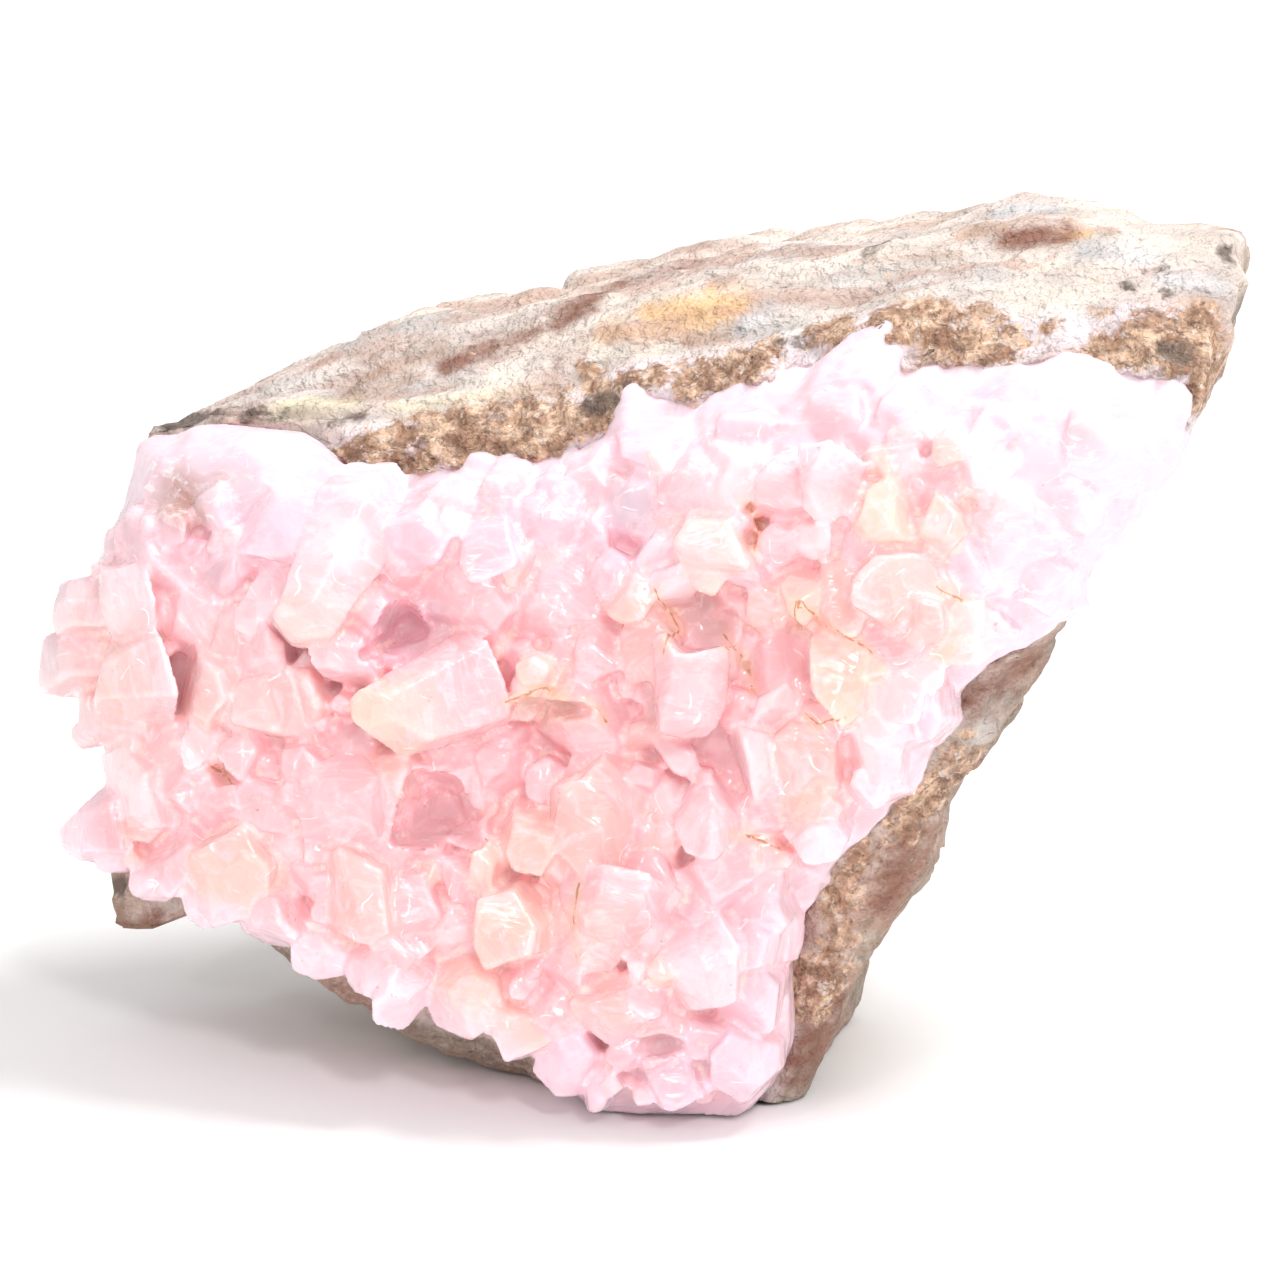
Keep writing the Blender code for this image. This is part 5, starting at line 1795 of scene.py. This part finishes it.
@dataclass(frozen=True)
class CalciteFinish(Finish):
    """Glassy, milky pink calcite: light enters it and comes out again close by.

    The reach of light is in metres.
    """

    name: str = "pink_calcite"
    # Painted shade: the darker pink laid into the depths.
    painted_recess_shade: Colour = (0.80, 0.43, 0.46)
    milk: Colour = (0.96, 0.75, 0.80)
    frost: Colour = (0.97, 0.90, 0.92)
    # Painted highlight along the ridges.
    edge: Colour = (0.98, 0.88, 0.89)
    # Painted glints in short curves.
    glint: Colour = (1.0, 0.95, 0.95)
    rust: Colour = (0.53, 0.20, 0.07)
    cream: Colour = (0.97, 0.83, 0.70)
    amber: Colour = (0.90, 0.60, 0.36)
    blush: Colour = (0.94, 0.46, 0.50)
    veils: Cloud = Cloud(560.0, 0.46, 0.7, 0.6, warp=1.4, size=(0.6, 0.6, 2.0))
    blushes: Cloud = Cloud(950.0, 0.52, 0.72, 0.35, rough=0.65)
    wisps: Cloud = Cloud(900.0, 0.52, 0.68, warp=1.6, turn=(0.4, 0.9, 0.3), size=(0.35, 1.0, 1.0))
    radius: Colour = (1.0, 0.5, 0.52)
    reach: float = 0.0012
    ior: float = 1.62

    def milky(self, nodes: Nodes, colour: Socket, place: Socket, grown: Socket,
              massive: Socket, broad: Socket) -> Socket:
        """Cells of painted light and shade, standing in for light bent by inner facets, then
        veils and blushes in the body of the calcite, and milk where it is massive.

        Args:
            nodes: The material's helper.
            colour: The tint of the crystals.
            place: Where patterns across the whole crust are read.
            grown: Where patterns along each crystal are read.
            massive: How massive the crust is.
            broad: The broad mottling.

        Returns:
            The new colour.
        """
        # Painted light and shade: a random brightness for each cell, standing in for light bent by
        # inner facets.
        painted_refraction_cells = nodes.patches(nodes.stretch(grown, (0.5, 0.3, 0.2), (0.8, 0.6, 1.0)), 700.0)
        colour = nodes.shaded(colour, painted_refraction_cells, 0.93, 1.06)
        colour = nodes.mix(nodes.cloud(grown, self.veils), colour, self.milk)
        colour = nodes.mix(nodes.cloud(place, self.blushes), colour, self.blush)
        swell = nodes.math("MULTIPLY_ADD", nodes.noise(place, 170.0, 2.0), 0.5, massive)
        colour = nodes.mix(nodes.times(broad, nodes.times(swell, 0.6)), colour, self.milk)
        banded = nodes.math("MULTIPLY_ADD", massive, 0.6, 0.25)
        wisps = nodes.times(nodes.cloud(place, self.wisps), banded)
        return nodes.mix(wisps, colour, self.frost)

    def rusted(self, nodes: Nodes, colour: Socket, grit: Socket, chance: Socket,
               crease: Socket, broad: Socket) -> Socket:
        """Iron in the seams: an amber halo, a thin broken line and dots of rust.

        The line lies where the side changes, roughened by the grit.

        Args:
            nodes: The material's helper.
            colour: The colour so far.
            grit: Fine noise.
            chance: Noise that breaks the lines.
            crease: Where crystals meet.
            broad: The broad mottling.

        Returns:
            The new colour.
        """
        near, side, _ = nodes.split(nodes.attribute("zones").outputs["Color"])
        away = nodes.math("MULTIPLY_ADD", grit, 0.09, nodes.off(side))
        line = nodes.times(nodes.remap(away, 0.08, 0.05), nodes.remap(near, 0.72, 0.85))
        line = nodes.times(line, nodes.remap(chance, 0.42, 0.54))
        seam = nodes.times(nodes.remap(near, 0.7, 0.9), nodes.remap(crease, 0.85, 1.0, 0.0, 0.5))
        colour = nodes.mix(nodes.remap(near, 0.5, 0.95, 0.0, 0.3), colour, self.amber)
        iron = nodes.times(nodes.math("MAXIMUM", line, seam), 0.85)
        colour = nodes.mix(iron, colour, self.rust)
        dots = nodes.times(nodes.remap(grit, 0.7, 0.74), nodes.remap(broad, 0.6, 0.85, 0.0, 0.45))
        return nodes.mix(dots, colour, self.rust)

    def build(self) -> Material:
        """Makes the material.

        Over the milky body come painted glints in short curves where noise passes its middle,
        painted highlights on the ridges, painted shade of a darker pink in the hollows, cream
        where crystals meet, and the rust.

        Returns:
            The material.
        """
        material, nodes, shader = self.start()
        place = nodes.add("ShaderNodeTexCoord").outputs["Object"]
        grown = nodes.attribute("grown").outputs["Vector"]
        tint = nodes.attribute("tint").outputs["Color"]
        recess_shade, crease, ridge = nodes.split(nodes.attribute("marks").outputs["Color"])
        massive = nodes.split(nodes.attribute("zones").outputs["Color"])[2]
        mottle = self.mottled(nodes, place, 420.0, 1.9)
        colour = self.milky(nodes, tint, place, grown, massive, mottle["Broad"])
        chance = nodes.noise(grown, 620.0, 1.0)
        # Painted glints: short white curves where noise passes its middle.
        painted_glint_curves = nodes.remap(nodes.off(nodes.noise(grown, 260.0, 1.0)), 0.009, 0.003)
        painted_glint_curves = nodes.times(painted_glint_curves, nodes.remap(chance, 0.57, 0.64, 0.0, 0.8))
        colour = nodes.mix(painted_glint_curves, colour, self.glint)
        # Painted highlight: paler colour along the ridges, as if they caught the light.
        painted_ridge_highlight = nodes.math("MULTIPLY_ADD", ridge, 0.12, nodes.remap(ridge, 0.75, 1.0, 0.0, 0.35))
        colour = nodes.mix(painted_ridge_highlight, colour, self.edge)
        # Painted shade: darker pink where the crust lies behind the crystals round it.
        colour = nodes.mix(nodes.times(recess_shade, 0.6), colour, self.painted_recess_shade)
        contact = nodes.times(nodes.remap(crease, 0.75, 1.0),
                              nodes.remap(mottle["Fine"], 0.4, 0.8, 0.05, 0.45))
        colour = nodes.mix(contact, colour, self.cream)
        grit = nodes.noise(place, 1600.0, 2.0, 0.6)
        colour = self.rusted(nodes, colour, grit, chance, crease, mottle["Broad"])
        nodes.feed(shader.inputs["Base Color"], colour)
        dull = nodes.math("MULTIPLY_ADD", mottle["Fine"], 0.16, 0.1)
        dull = nodes.math("MULTIPLY_ADD", massive, 0.22, dull)
        nodes.feed(shader.inputs["Roughness"], dull)
        steps = nodes.noise(nodes.stretch(grown, (0, 0, 0), (0.35, 0.35, 4.0)), 900.0, 3.0)
        nodes.feed(shader.inputs["Normal"], nodes.bump(steps, 0.3, 0.0002))
        shader.subsurface_method = "BURLEY"
        shader.inputs["IOR"].default_value = self.ior
        shader.inputs["Subsurface Weight"].default_value = 1.0
        shader.inputs["Subsurface Radius"].default_value = self.radius
        shader.inputs["Subsurface Scale"].default_value = self.reach
        return material


@dataclass(frozen=True)
class RockFinish(Finish):
    """Broken, laminated rock with rust in its seams and a granular brown rim."""

    name: str = "host_rock"
    pale: Colour = (0.78, 0.71, 0.65)
    warm: Colour = (0.50, 0.28, 0.21)
    rust: Colour = (0.40, 0.20, 0.12)
    umber: Colour = (0.27, 0.11, 0.07)
    dark: Colour = (0.13, 0.09, 0.07)
    # Painted shadow between the grains.
    shadow: Colour = (0.20, 0.11, 0.08)
    brown: Colour = (0.39, 0.22, 0.14)
    honey: Colour = (0.74, 0.50, 0.35)
    sand: Colour = (0.88, 0.75, 0.68)
    warmth: Cloud = Cloud(330.0, 0.48, 0.62, 0.55, 4.0, 0.6, size=(0.6, 1.0, 1.0))
    seams: Cloud = Cloud(700.0, 0.6636, 0.8818, 0.36, 4.0, 0.65)
    grain_clouds: Cloud = Cloud(620.0, 0.4, 0.62)
    grain_shadows: Cloud = Cloud(1700.0, 0.53, 0.66, 0.75)
    grain_sand: Cloud = Cloud(1250.0, 0.56, 0.68, 0.7)

    def granular(self, nodes: Nodes, place: Socket, grains: Socket) -> Socket:
        """Fine brown and honey grains in clouds, with painted shadow between them and pale sand.

        Args:
            nodes: The material's helper.
            place: Where the patterns are read.
            grains: One random value for each grain.

        Returns:
            The colour.
        """
        colour = nodes.mix(nodes.cloud(place, self.grain_clouds), self.brown, self.honey)
        colour = nodes.shaded(colour, grains, 0.74, 1.24)
        # Painted shadow between the grains.
        colour = nodes.mix(nodes.cloud(place, self.grain_shadows), colour, self.shadow)
        return nodes.mix(nodes.cloud(place, self.grain_sand), colour, self.sand)

    def build(self) -> Material:
        """Makes the material.

        Layers of shade, warmth, pale flecks, rust and dark specks lie on the tint. Then the
        masks of umber, granular rim and pits take their share, each roughened by noise.

        Returns:
            The material.
        """
        material, nodes, shader = self.start()
        place = nodes.add("ShaderNodeTexCoord").outputs["Object"]
        tint = nodes.attribute("tint").outputs["Color"]
        granular, umber, pitted = nodes.split(nodes.attribute("marks").outputs["Color"])
        beds = nodes.stretch(place, (0.5, -0.26, 0.2), (0.45, 1.0, 1.0))
        mottle = self.mottled(nodes, place, 500.0, 2.2)
        layers = self.mottled(nodes, beds, 520.0, 1.8)
        colour = nodes.shaded(tint, layers["Broad"], 0.78, 1.16)
        colour = nodes.mix(nodes.cloud(beds, self.warmth), colour, self.warm)
        colour = nodes.mix(nodes.remap(mottle["Fine"], 0.55, 0.9, 0.0, 0.25), colour, self.pale)
        colour = nodes.mix(nodes.cloud(beds, self.seams), colour, self.rust)
        cells = nodes.add("ShaderNodeTexVoronoi", {"Vector": place, "Scale": 900.0})
        specks = nodes.times(nodes.remap(cells.outputs["Distance"], 0.13, 0.06),
                             nodes.remap(mottle["Broad"], 0.5, 0.8, 0.0, 0.5))
        colour = nodes.mix(specks, colour, self.dark)

        wander = nodes.math("MULTIPLY_ADD", nodes.noise(place, 380.0, 4.0, 0.7), 2.0, -1.0)
        streaks = nodes.math("MULTIPLY_ADD", nodes.noise(beds, 800.0, 4.0, 0.7), 1.8, -0.9)
        stained = nodes.remap(nodes.math("ADD", umber, streaks), 0.05, 1.15, 0.0, 0.95)
        colour = nodes.mix(stained, colour, self.umber)
        grains = nodes.patches(place, 2400.0)
        speckle = nodes.math("MULTIPLY_ADD", grains, 0.3, wander)
        grainy = nodes.remap(nodes.math("ADD", granular, speckle), 0.4, 0.8)
        colour = nodes.mix(grainy, colour, self.granular(nodes, place, grains))
        pits = nodes.remap(nodes.math("ADD", pitted, wander), 0.4, 0.85, 0.0, 0.85)
        nodes.feed(shader.inputs["Base Color"], nodes.mix(pits, colour, self.dark))
        dull = nodes.math("MULTIPLY_ADD", mottle["Fine"], 0.3, 0.55)
        sparks = nodes.times(nodes.remap(grains, 0.8, 0.9), grainy)
        nodes.feed(shader.inputs["Roughness"], nodes.math("MULTIPLY_ADD", sparks, -0.35, dull))
        normal = nodes.bump(layers["Height"], 0.8, 0.0006)
        normal = nodes.bump(nodes.noise(place, 1500.0, 2.0, 0.6), 0.9, 0.0007, normal)
        nodes.feed(shader.inputs["Normal"], normal)
        return material


@dataclass(frozen=True)
class FloorFinish(Finish):
    """White studio paper."""

    name: str = "studio_floor"
    colour: Colour = (0.965, 0.965, 0.965)
    dull: float = 0.9
    gloss: float = 0.1

    def build(self) -> Material:
        """Makes the material.

        Returns:
            The material.
        """
        material, nodes, shader = self.start()
        nodes.feed(shader.inputs["Base Color"], self.colour)
        shader.inputs["Roughness"].default_value = self.dull
        shader.inputs["Specular IOR Level"].default_value = self.gloss
        return material


@dataclass
class HostRock:
    """The broken rock behind the crust.

    It is a closed grid of rings: the flat part behind the crust, the wall round it, and the
    back. Levels and sizes are in millimetres of h.
    """

    around: int = 520
    rings: int = 172
    flat_rings: int = 20
    corner: int = 8
    wall_rings: int = 130
    front: float = -6.3
    back: float = -31.0
    lap: float = 3.4
    least_bare: float = 0.8
    front_dip: float = 0.5
    back_crown: float = 1.5
    bulge: float = 3.0
    rise: Row = (3.2, 2.2)
    core: Place = (4.965, -2.96, 28.0)
    # The two colours that noise blends on the top, and the two on the broken sides.
    top_tints: tuple[Colour, Colour] = ((0.86, 0.74, 0.65), (0.75, 0.63, 0.58))
    side_tints: tuple[Colour, Colour] = ((0.45, 0.32, 0.24), (0.33, 0.28, 0.23))
    # Patches on the top: the size of the noise, its seed and the colour.
    top_patches: tuple = ((3.0, 71, (0.66, 0.44, 0.36)), (5.0, 74, (0.66, 0.64, 0.66)))
    frost_tint: Colour = (0.92, 0.79, 0.82)
    mark_metric: Place = (1.0, 1.0, 0.35)

    def places(self, turn: Array, depth: Array, share: Array) -> tuple:
        """World places before the rock is broken, and their face coordinates.

        At each depth the outline is blended between the two listed levels around it. The back
        swells by one less the square of the share.

        Args:
            turn: The angle of each point round the middle of the face.
            depth: Its level.
            share: Its share of the distance to the outline.

        Returns:
            Rows of world coordinates, and rows of u, v, h.
        """
        depths = np.array([level for level, _ in ROCK_LEVELS])
        reaches = np.array([outline_radius(outline, turn) for _, outline in ROCK_LEVELS])
        spot = np.clip(np.interp(-depth, -depths, np.arange(len(depths))), 0, len(depths) - 1.001)
        low = spot.astype(int)
        rows = np.arange(len(turn))
        reach = reaches[low, rows] * (1 - spot + low) + reaches[low + 1, rows] * (spot - low)
        u = FACE.centre[0] + share * reach * np.cos(turn)
        v = FACE.centre[1] + share * reach * np.sin(turn)
        behind = ease(-self.back - 1, -self.back + 1, -depth) * (1 - share**2)
        h = depth - self.bulge * behind
        bent = h + FACE.bend(u) * ease(self.back, self.front, h)
        return FACE.to_world(np.stack([u, v, bent], axis=1)), np.stack([u, v, h], axis=1)

    def rounded(self, points: Array) -> Array:
        """Rounds the corner between front and wall.

        Each point near the corner becomes the mean of the points up to so many rings before
        and behind it as it is rings short of the corner's reach.

        Args:
            points: Rows of three coordinates.

        Returns:
            The new rows.
        """
        grid = points[1:-1].reshape(self.rings - 1, self.around, 3)
        result = grid.copy()
        for ring in range(self.flat_rings - self.corner, self.flat_rings + self.corner + 1):
            wide = self.corner - abs(ring - self.flat_rings)
            result[ring] = grid[ring - wide: ring + wide + 1].mean(axis=0)
        return np.concatenate([points[:1], result.reshape(-1, 3), points[-1:]])

    def broken(self, points: Array, face: Array, bare: Array) -> Array:
        """The rock's places, broken flat behind and roughened along lines from its core.

        The roughness is the sum of coarse and fine bumps, ledges where noise passes zero, a
        seam across the top, and then chips and grit wherever the rock is bare.

        Args:
            points: World places.
            face: The same as rows of u, v, h.
            bare: 0 where the crust covers the rock and 1 where it is bare.

        Returns:
            The new world places.
        """
        u, v, h = face.T
        arms = points - np.array(self.core)
        for looks, distance in ROCK_BREAKS:
            along = arms @ (np.array(looks) / np.linalg.norm(looks))
            arms *= np.where(along > distance, distance / np.maximum(along, 1e-6), 1)[:, None]
        loose = ease(-self.front, 2.5 - self.front, -h)
        bumps = 1.1 * rough(arms, 9.0, SEED + 5) + 0.5 * rough(arms, 3.5, SEED + 9)
        ledge = np.abs(lattice_noise(arms / (15.0, 7.0, 15.0), SEED + 14)) / 0.12
        bumps += 0.2 - 0.9 * np.exp(-(ledge**2))
        seam = -12.0 - 0.45 * (u + 25.0) + 1.5 * lattice_noise(arms / 7.0, SEED + 20)
        on_top = ease(36, 40, v) * ease(-6, 0, -u)
        bumps -= 1.4 * on_top * np.exp(-(((h - seam) / 0.9) ** 2))
        beds = arms @ np.array([[0.22, 0, 0], [0, 1.0, 0.2], [0.06, -0.3, 1.0]])
        chips = np.abs(lattice_noise(beds / 2.2, SEED + 50)) / 0.14
        grit = 0.22 * rough(arms, 1.3, SEED + 60, 3) + 0.3 * rough(beds, 2.4, SEED + 64, 2)
        bumps = loose * bumps + ease(0.0, 0.25, bare) * (grit - 0.35 * np.exp(-(chips**2)))
        lengths = np.linalg.norm(arms, axis=1)[:, None]
        arms *= 1 + bumps[:, None] / np.maximum(lengths, 1)
        return np.array(self.core) + arms

    def mark_distance(self, face: Array, row: tuple) -> Array:
        """Distance from a mark's line in half widths. Depth counts less, as marks run back."""
        metric = np.array(self.mark_metric)
        return piece_distance(face * metric, row[:3] * metric, row[3:6] * metric) / row[6]

    def marks(self, face: Array, world: Array, up: Array) -> tuple:
        """Colour and masks of each point.

        Broken sides are brown and the top is pale, both clouded by noise. Then each mark
        takes its share where it is near, roughened by noise. The masks have soft edges, which
        the finish roughens further.

        Args:
            face: Rows of u, v, h.
            world: World places in millimetres.
            up: How far each point looks up, from -1 to 1.

        Returns:
            Rows of colour, and rows of the masks for granular crust, umber and pits.
        """
        beds = world * (0.25, 1.0, 1.0)
        cloud = ease(-0.6, 0.6, rough(beds, 4.0, SEED + 70))[:, None]
        blend = ease(-0.5, 0.6, rough(world, 7.0, SEED + 72))[:, None]
        top, side = (np.array(one) * (1 - share) + np.array(other) * share for (one, other), share
                     in ((self.top_tints, cloud), (self.side_tints, blend)))
        lift = ease(-0.1, 0.55, up + 0.25 * rough(world, 3.0, SEED + 73))
        band = ease(36, 39, face[:, 1]) * ease(-12, -9, face[:, 2])
        lift = np.maximum(lift, band)[:, None]
        tint = side * (1 - lift) + top * lift
        for size, seed, colour in self.top_patches:
            patch = ease(0.05, 0.55, rough(beds, size, SEED + seed))[:, None] * lift
            tint += (np.array(colour) - tint) * 0.5 * patch
        ragged = 0.75 * rough(beds, 1.7, SEED + 76) + 0.4 * rough(world, 0.8, SEED + 77)
        for *row, strength, kind in TINT_MARKS:
            share = strength * ease(1.9, 0.2, self.mark_distance(face, row) + ragged)
            tint += (np.array(kind.value) - tint) * share[:, None]
        masks = np.zeros((len(face), 3))
        for mask, table in zip(masks.T, (RIM_MARKS, UMBER_MARKS, PIT_MARKS)):
            for *row, strength in table:
                share = ease(3.1, 0.0, self.mark_distance(face, row) + 0.4 * ragged)
                np.maximum(mask, strength * share, out=mask)
        return tint, masks

    def raised(self, face: Array) -> Array:
        """How far the rock stands up beside the edge of the crust, in millimetres.

        Along the top and the right it rises to the level of the crust inside the crust's
        outline, and falls back before its own. Noise makes it ragged.

        Args:
            face: Rows of u, v, h.

        Returns:
            One height for each row.
        """
        u, v, _ = face.T
        turn, away = FACE.polar(face)
        inner, outer = (outline_radius(line, turn) for line in (CRUST_OUTLINE, ROCK_LEVELS[0][1]))
        past = away - inner
        share = ease(-2.4, -0.3, past) * ease(1.2, -0.1, past / np.maximum(outer - inner, 1.0))
        share *= np.where(v > 33, ease(-24.5, -21.0, u), 0.6 * ease(6, 9, u) * ease(1, 5, v))
        flat = face * (1.0, 1.0, 0.0)
        ragged = 0.5 * rough(flat, 2.0, SEED + 84) + 0.35 * rough(flat, 0.8, SEED + 86, 2)
        return share * (self.rise[0] + self.rise[1] * ragged)

    def grid(self, turn: Array, ring: Array) -> tuple:
        """Where each point of the rings lies before the rock is shaped.

        The flat part dips between the edge of the crust and the corner, and the back is a
        little crowned.

        Args:
            turn: The angle of each point.
            ring: Its ring number.

        Returns:
            Its level, its share of the distance to the outline, and how far out of the
            crust's cover it lies, from 0 to 1.
        """
        flat, walled = self.flat_rings, self.wall_rings
        reach = outline_radius(ROCK_LEVELS[0][1], turn)
        covered = outline_radius(CRUST_OUTLINE, turn) - self.lap
        covered = np.minimum(covered, reach - self.least_bare) / reach
        outside = np.clip((ring - 2) / (flat - 2), 0, 1)
        front_share = np.minimum(ring / 2, 1) * covered + (1 - covered) * outside
        wall = np.clip((ring - flat) / (walled - flat), 0, 1)
        depth = self.front + (self.back - self.front) * wall
        back_share = np.clip((self.rings - ring) / (self.rings - walled), 0, 1)
        share = np.where(ring < flat, front_share, back_share)
        crown = self.back - self.back_crown * (1 - back_share**8)
        depth = np.where(ring > walled, crown, depth)
        dip = self.front_dip * np.sin(math.pi * outside)
        depth = np.where(ring < flat, depth - dip, depth)
        return depth, share, outside

    def build(self) -> Object:
        """Makes, breaks and paints the rock, and then lifts its rim and its crumbs.

        Returns:
            The finished object.
        """
        turn, ring = ball_grid(self.around, self.rings)
        depth, share, outside = self.grid(turn, ring)
        points, face = (self.rounded(rows) for rows in self.places(turn, depth, share))
        bare = np.maximum(outside, ease(2.0, 3.0, ring - self.flat_rings))
        points = self.broken(points, face, bare)
        scene = bpy.context.scene.collection
        rock = new_object("host_rock_body", points, ball_faces(self.around, self.rings), scene)
        normals = read_rows(rock.data.vertices, "normal")
        spots = FACE.to_face(points)
        spots[:, 2] -= FACE.bend(spots[:, 0]) * ease(self.back, self.front, spots[:, 2])
        tint, marks = self.marks(spots, points, normals[:, 2])
        raised = self.raised(spots) * ease(self.flat_rings + 9, self.flat_rings - 2, ring)
        frosted = (ease(0.3, 1.6, raised) * (0.15 + 0.7 * ease(28, 34, spots[:, 1])))[:, None]
        tint += (np.array(self.frost_tint) - tint) * frosted
        crumbs = 0.7 * rough(points, 0.9, SEED + 80, 2) - 0.25 * marks[:, 2] + 0.1
        grained = np.maximum(marks[:, 0], 0.9 * marks[:, 2]) * crumbs
        points += normals * grained[:, None] + raised[:, None] * FACE.matrix()[:3, 2]
        points[:, 2] = np.maximum(points[:, 2], 0)
        write_points(rock.data, points * MM)
        write_colours(rock.data, "tint", tint)
        write_colours(rock.data, "marks", marks)
        rock.data.shade_smooth()
        log.info("rock: %d faces", len(rock.data.polygons))
        return rock


@dataclass
class Studio:
    """White floor, soft light from above and the camera of the photograph.

    The target, the camera's distance and its lens are in millimetres, and the floor and the
    lights are in metres.
    """

    target: Place = (0.36, -10.96, 28.4)
    distance: float = 400.0
    elevation: float = 17.0
    lens: float = 185.6
    nearest: float = 0.01
    # Each light: its name, its place, its width and its power in watts.
    lights: tuple = (
        ("overhead", (0.26, 0.02, 0.56), 0.19, 2.1),
        ("window", (0.12, -0.46, 0.40), 0.08, 0.72),
        ("lamp", (-0.26, -0.38, 0.36), 0.05, 0.2),
    )
    aim: Place = (0.0, 0.0, 0.025)
    sky: float = 0.75
    half_floor: float = 3.0
    floor_steps: int = 24
    floor_gap: float = 0.0002
    floor_rise: float = 0.12
    level_floor: float = 1.2

    def camera(self) -> None:
        """Places the camera in front, looking down along +Y at the target."""
        item = bpy.data.objects.new("camera", bpy.data.cameras.new("camera"))
        bpy.context.scene.collection.objects.link(item)
        rise = math.radians(self.elevation)
        away = Vector((0, math.cos(rise), -math.sin(rise)))
        item.location = (Vector(self.target) - self.distance * away) * MM
        item.rotation_euler = (math.radians(90 - self.elevation), 0, 0)
        item.data.lens = self.lens
        item.data.clip_start = self.nearest
        bpy.context.scene.camera = item

    def light(self, name: str, place: Place, size: float, power: float) -> None:
        """An area light that looks at the middle of the specimen.

        Args:
            name: The light's name.
            place: Where it stands.
            size: Its width.
            power: Its power.
        """
        lamp = bpy.data.lights.new(name, "AREA")
        lamp.shape = "DISK"
        lamp.size = size
        lamp.energy = power
        item = bpy.data.objects.new(name, lamp)
        item.location = place
        aim = Vector(self.aim) - Vector(place)
        item.rotation_euler = aim.to_track_quat("-Z", "Y").to_euler()
        bpy.context.scene.collection.objects.link(item)

    def floor(self) -> None:
        """A wide sheet, level near the middle, whose height then grows as distance squared."""
        step = self.floor_steps
        across = np.linspace(-self.half_floor, self.half_floor, step + 1)
        grid_x, grid_y = np.meshgrid(across, across)
        past = np.clip(np.hypot(grid_x, grid_y) - self.level_floor, 0, None)
        grid_z = -self.floor_gap + self.floor_rise * past**2
        points = np.stack([grid_x, grid_y, grid_z], axis=-1).reshape(-1, 3)
        row = np.arange(step)
        start = (row[:, None] * (step + 1) + row).ravel()
        faces = np.stack([start, start + 1, start + step + 2, start + step + 1], axis=1).tolist()
        floor = new_object("studio_floor", points, faces, bpy.context.scene.collection)
        floor.data.shade_smooth()
        floor.data.materials.append(FloorFinish().build())

    def build(self) -> None:
        """Sets up everything that isn't the specimen."""
        self.camera()
        self.floor()
        for light in self.lights:
            self.light(*light)
        world = bpy.data.worlds.new("studio")
        world.use_nodes = True
        backdrop = world.node_tree.nodes["Background"]
        backdrop.inputs["Color"].default_value = (1, 1, 1, 1)
        backdrop.inputs["Strength"].default_value = self.sky
        bpy.context.scene.world = world
        bpy.context.scene.view_settings.view_transform = "Standard"


def main() -> None:
    """Builds the specimen and its studio in order."""
    logging.basicConfig(level=logging.INFO, format="%(message)s")
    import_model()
    Studio().build()
    mottle = make_mottle()
    crust = CalciteCrust().build()
    crust.data.materials.append(CalciteFinish(mottle=mottle).build())
    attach(crust, "root")
    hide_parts("calcite_crust")
    rock = HostRock().build()
    rock.data.materials.append(RockFinish(mottle=mottle).build())
    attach(rock, "root")
    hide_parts("host_rock")
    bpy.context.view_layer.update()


if __name__ == "__main__":
    main()
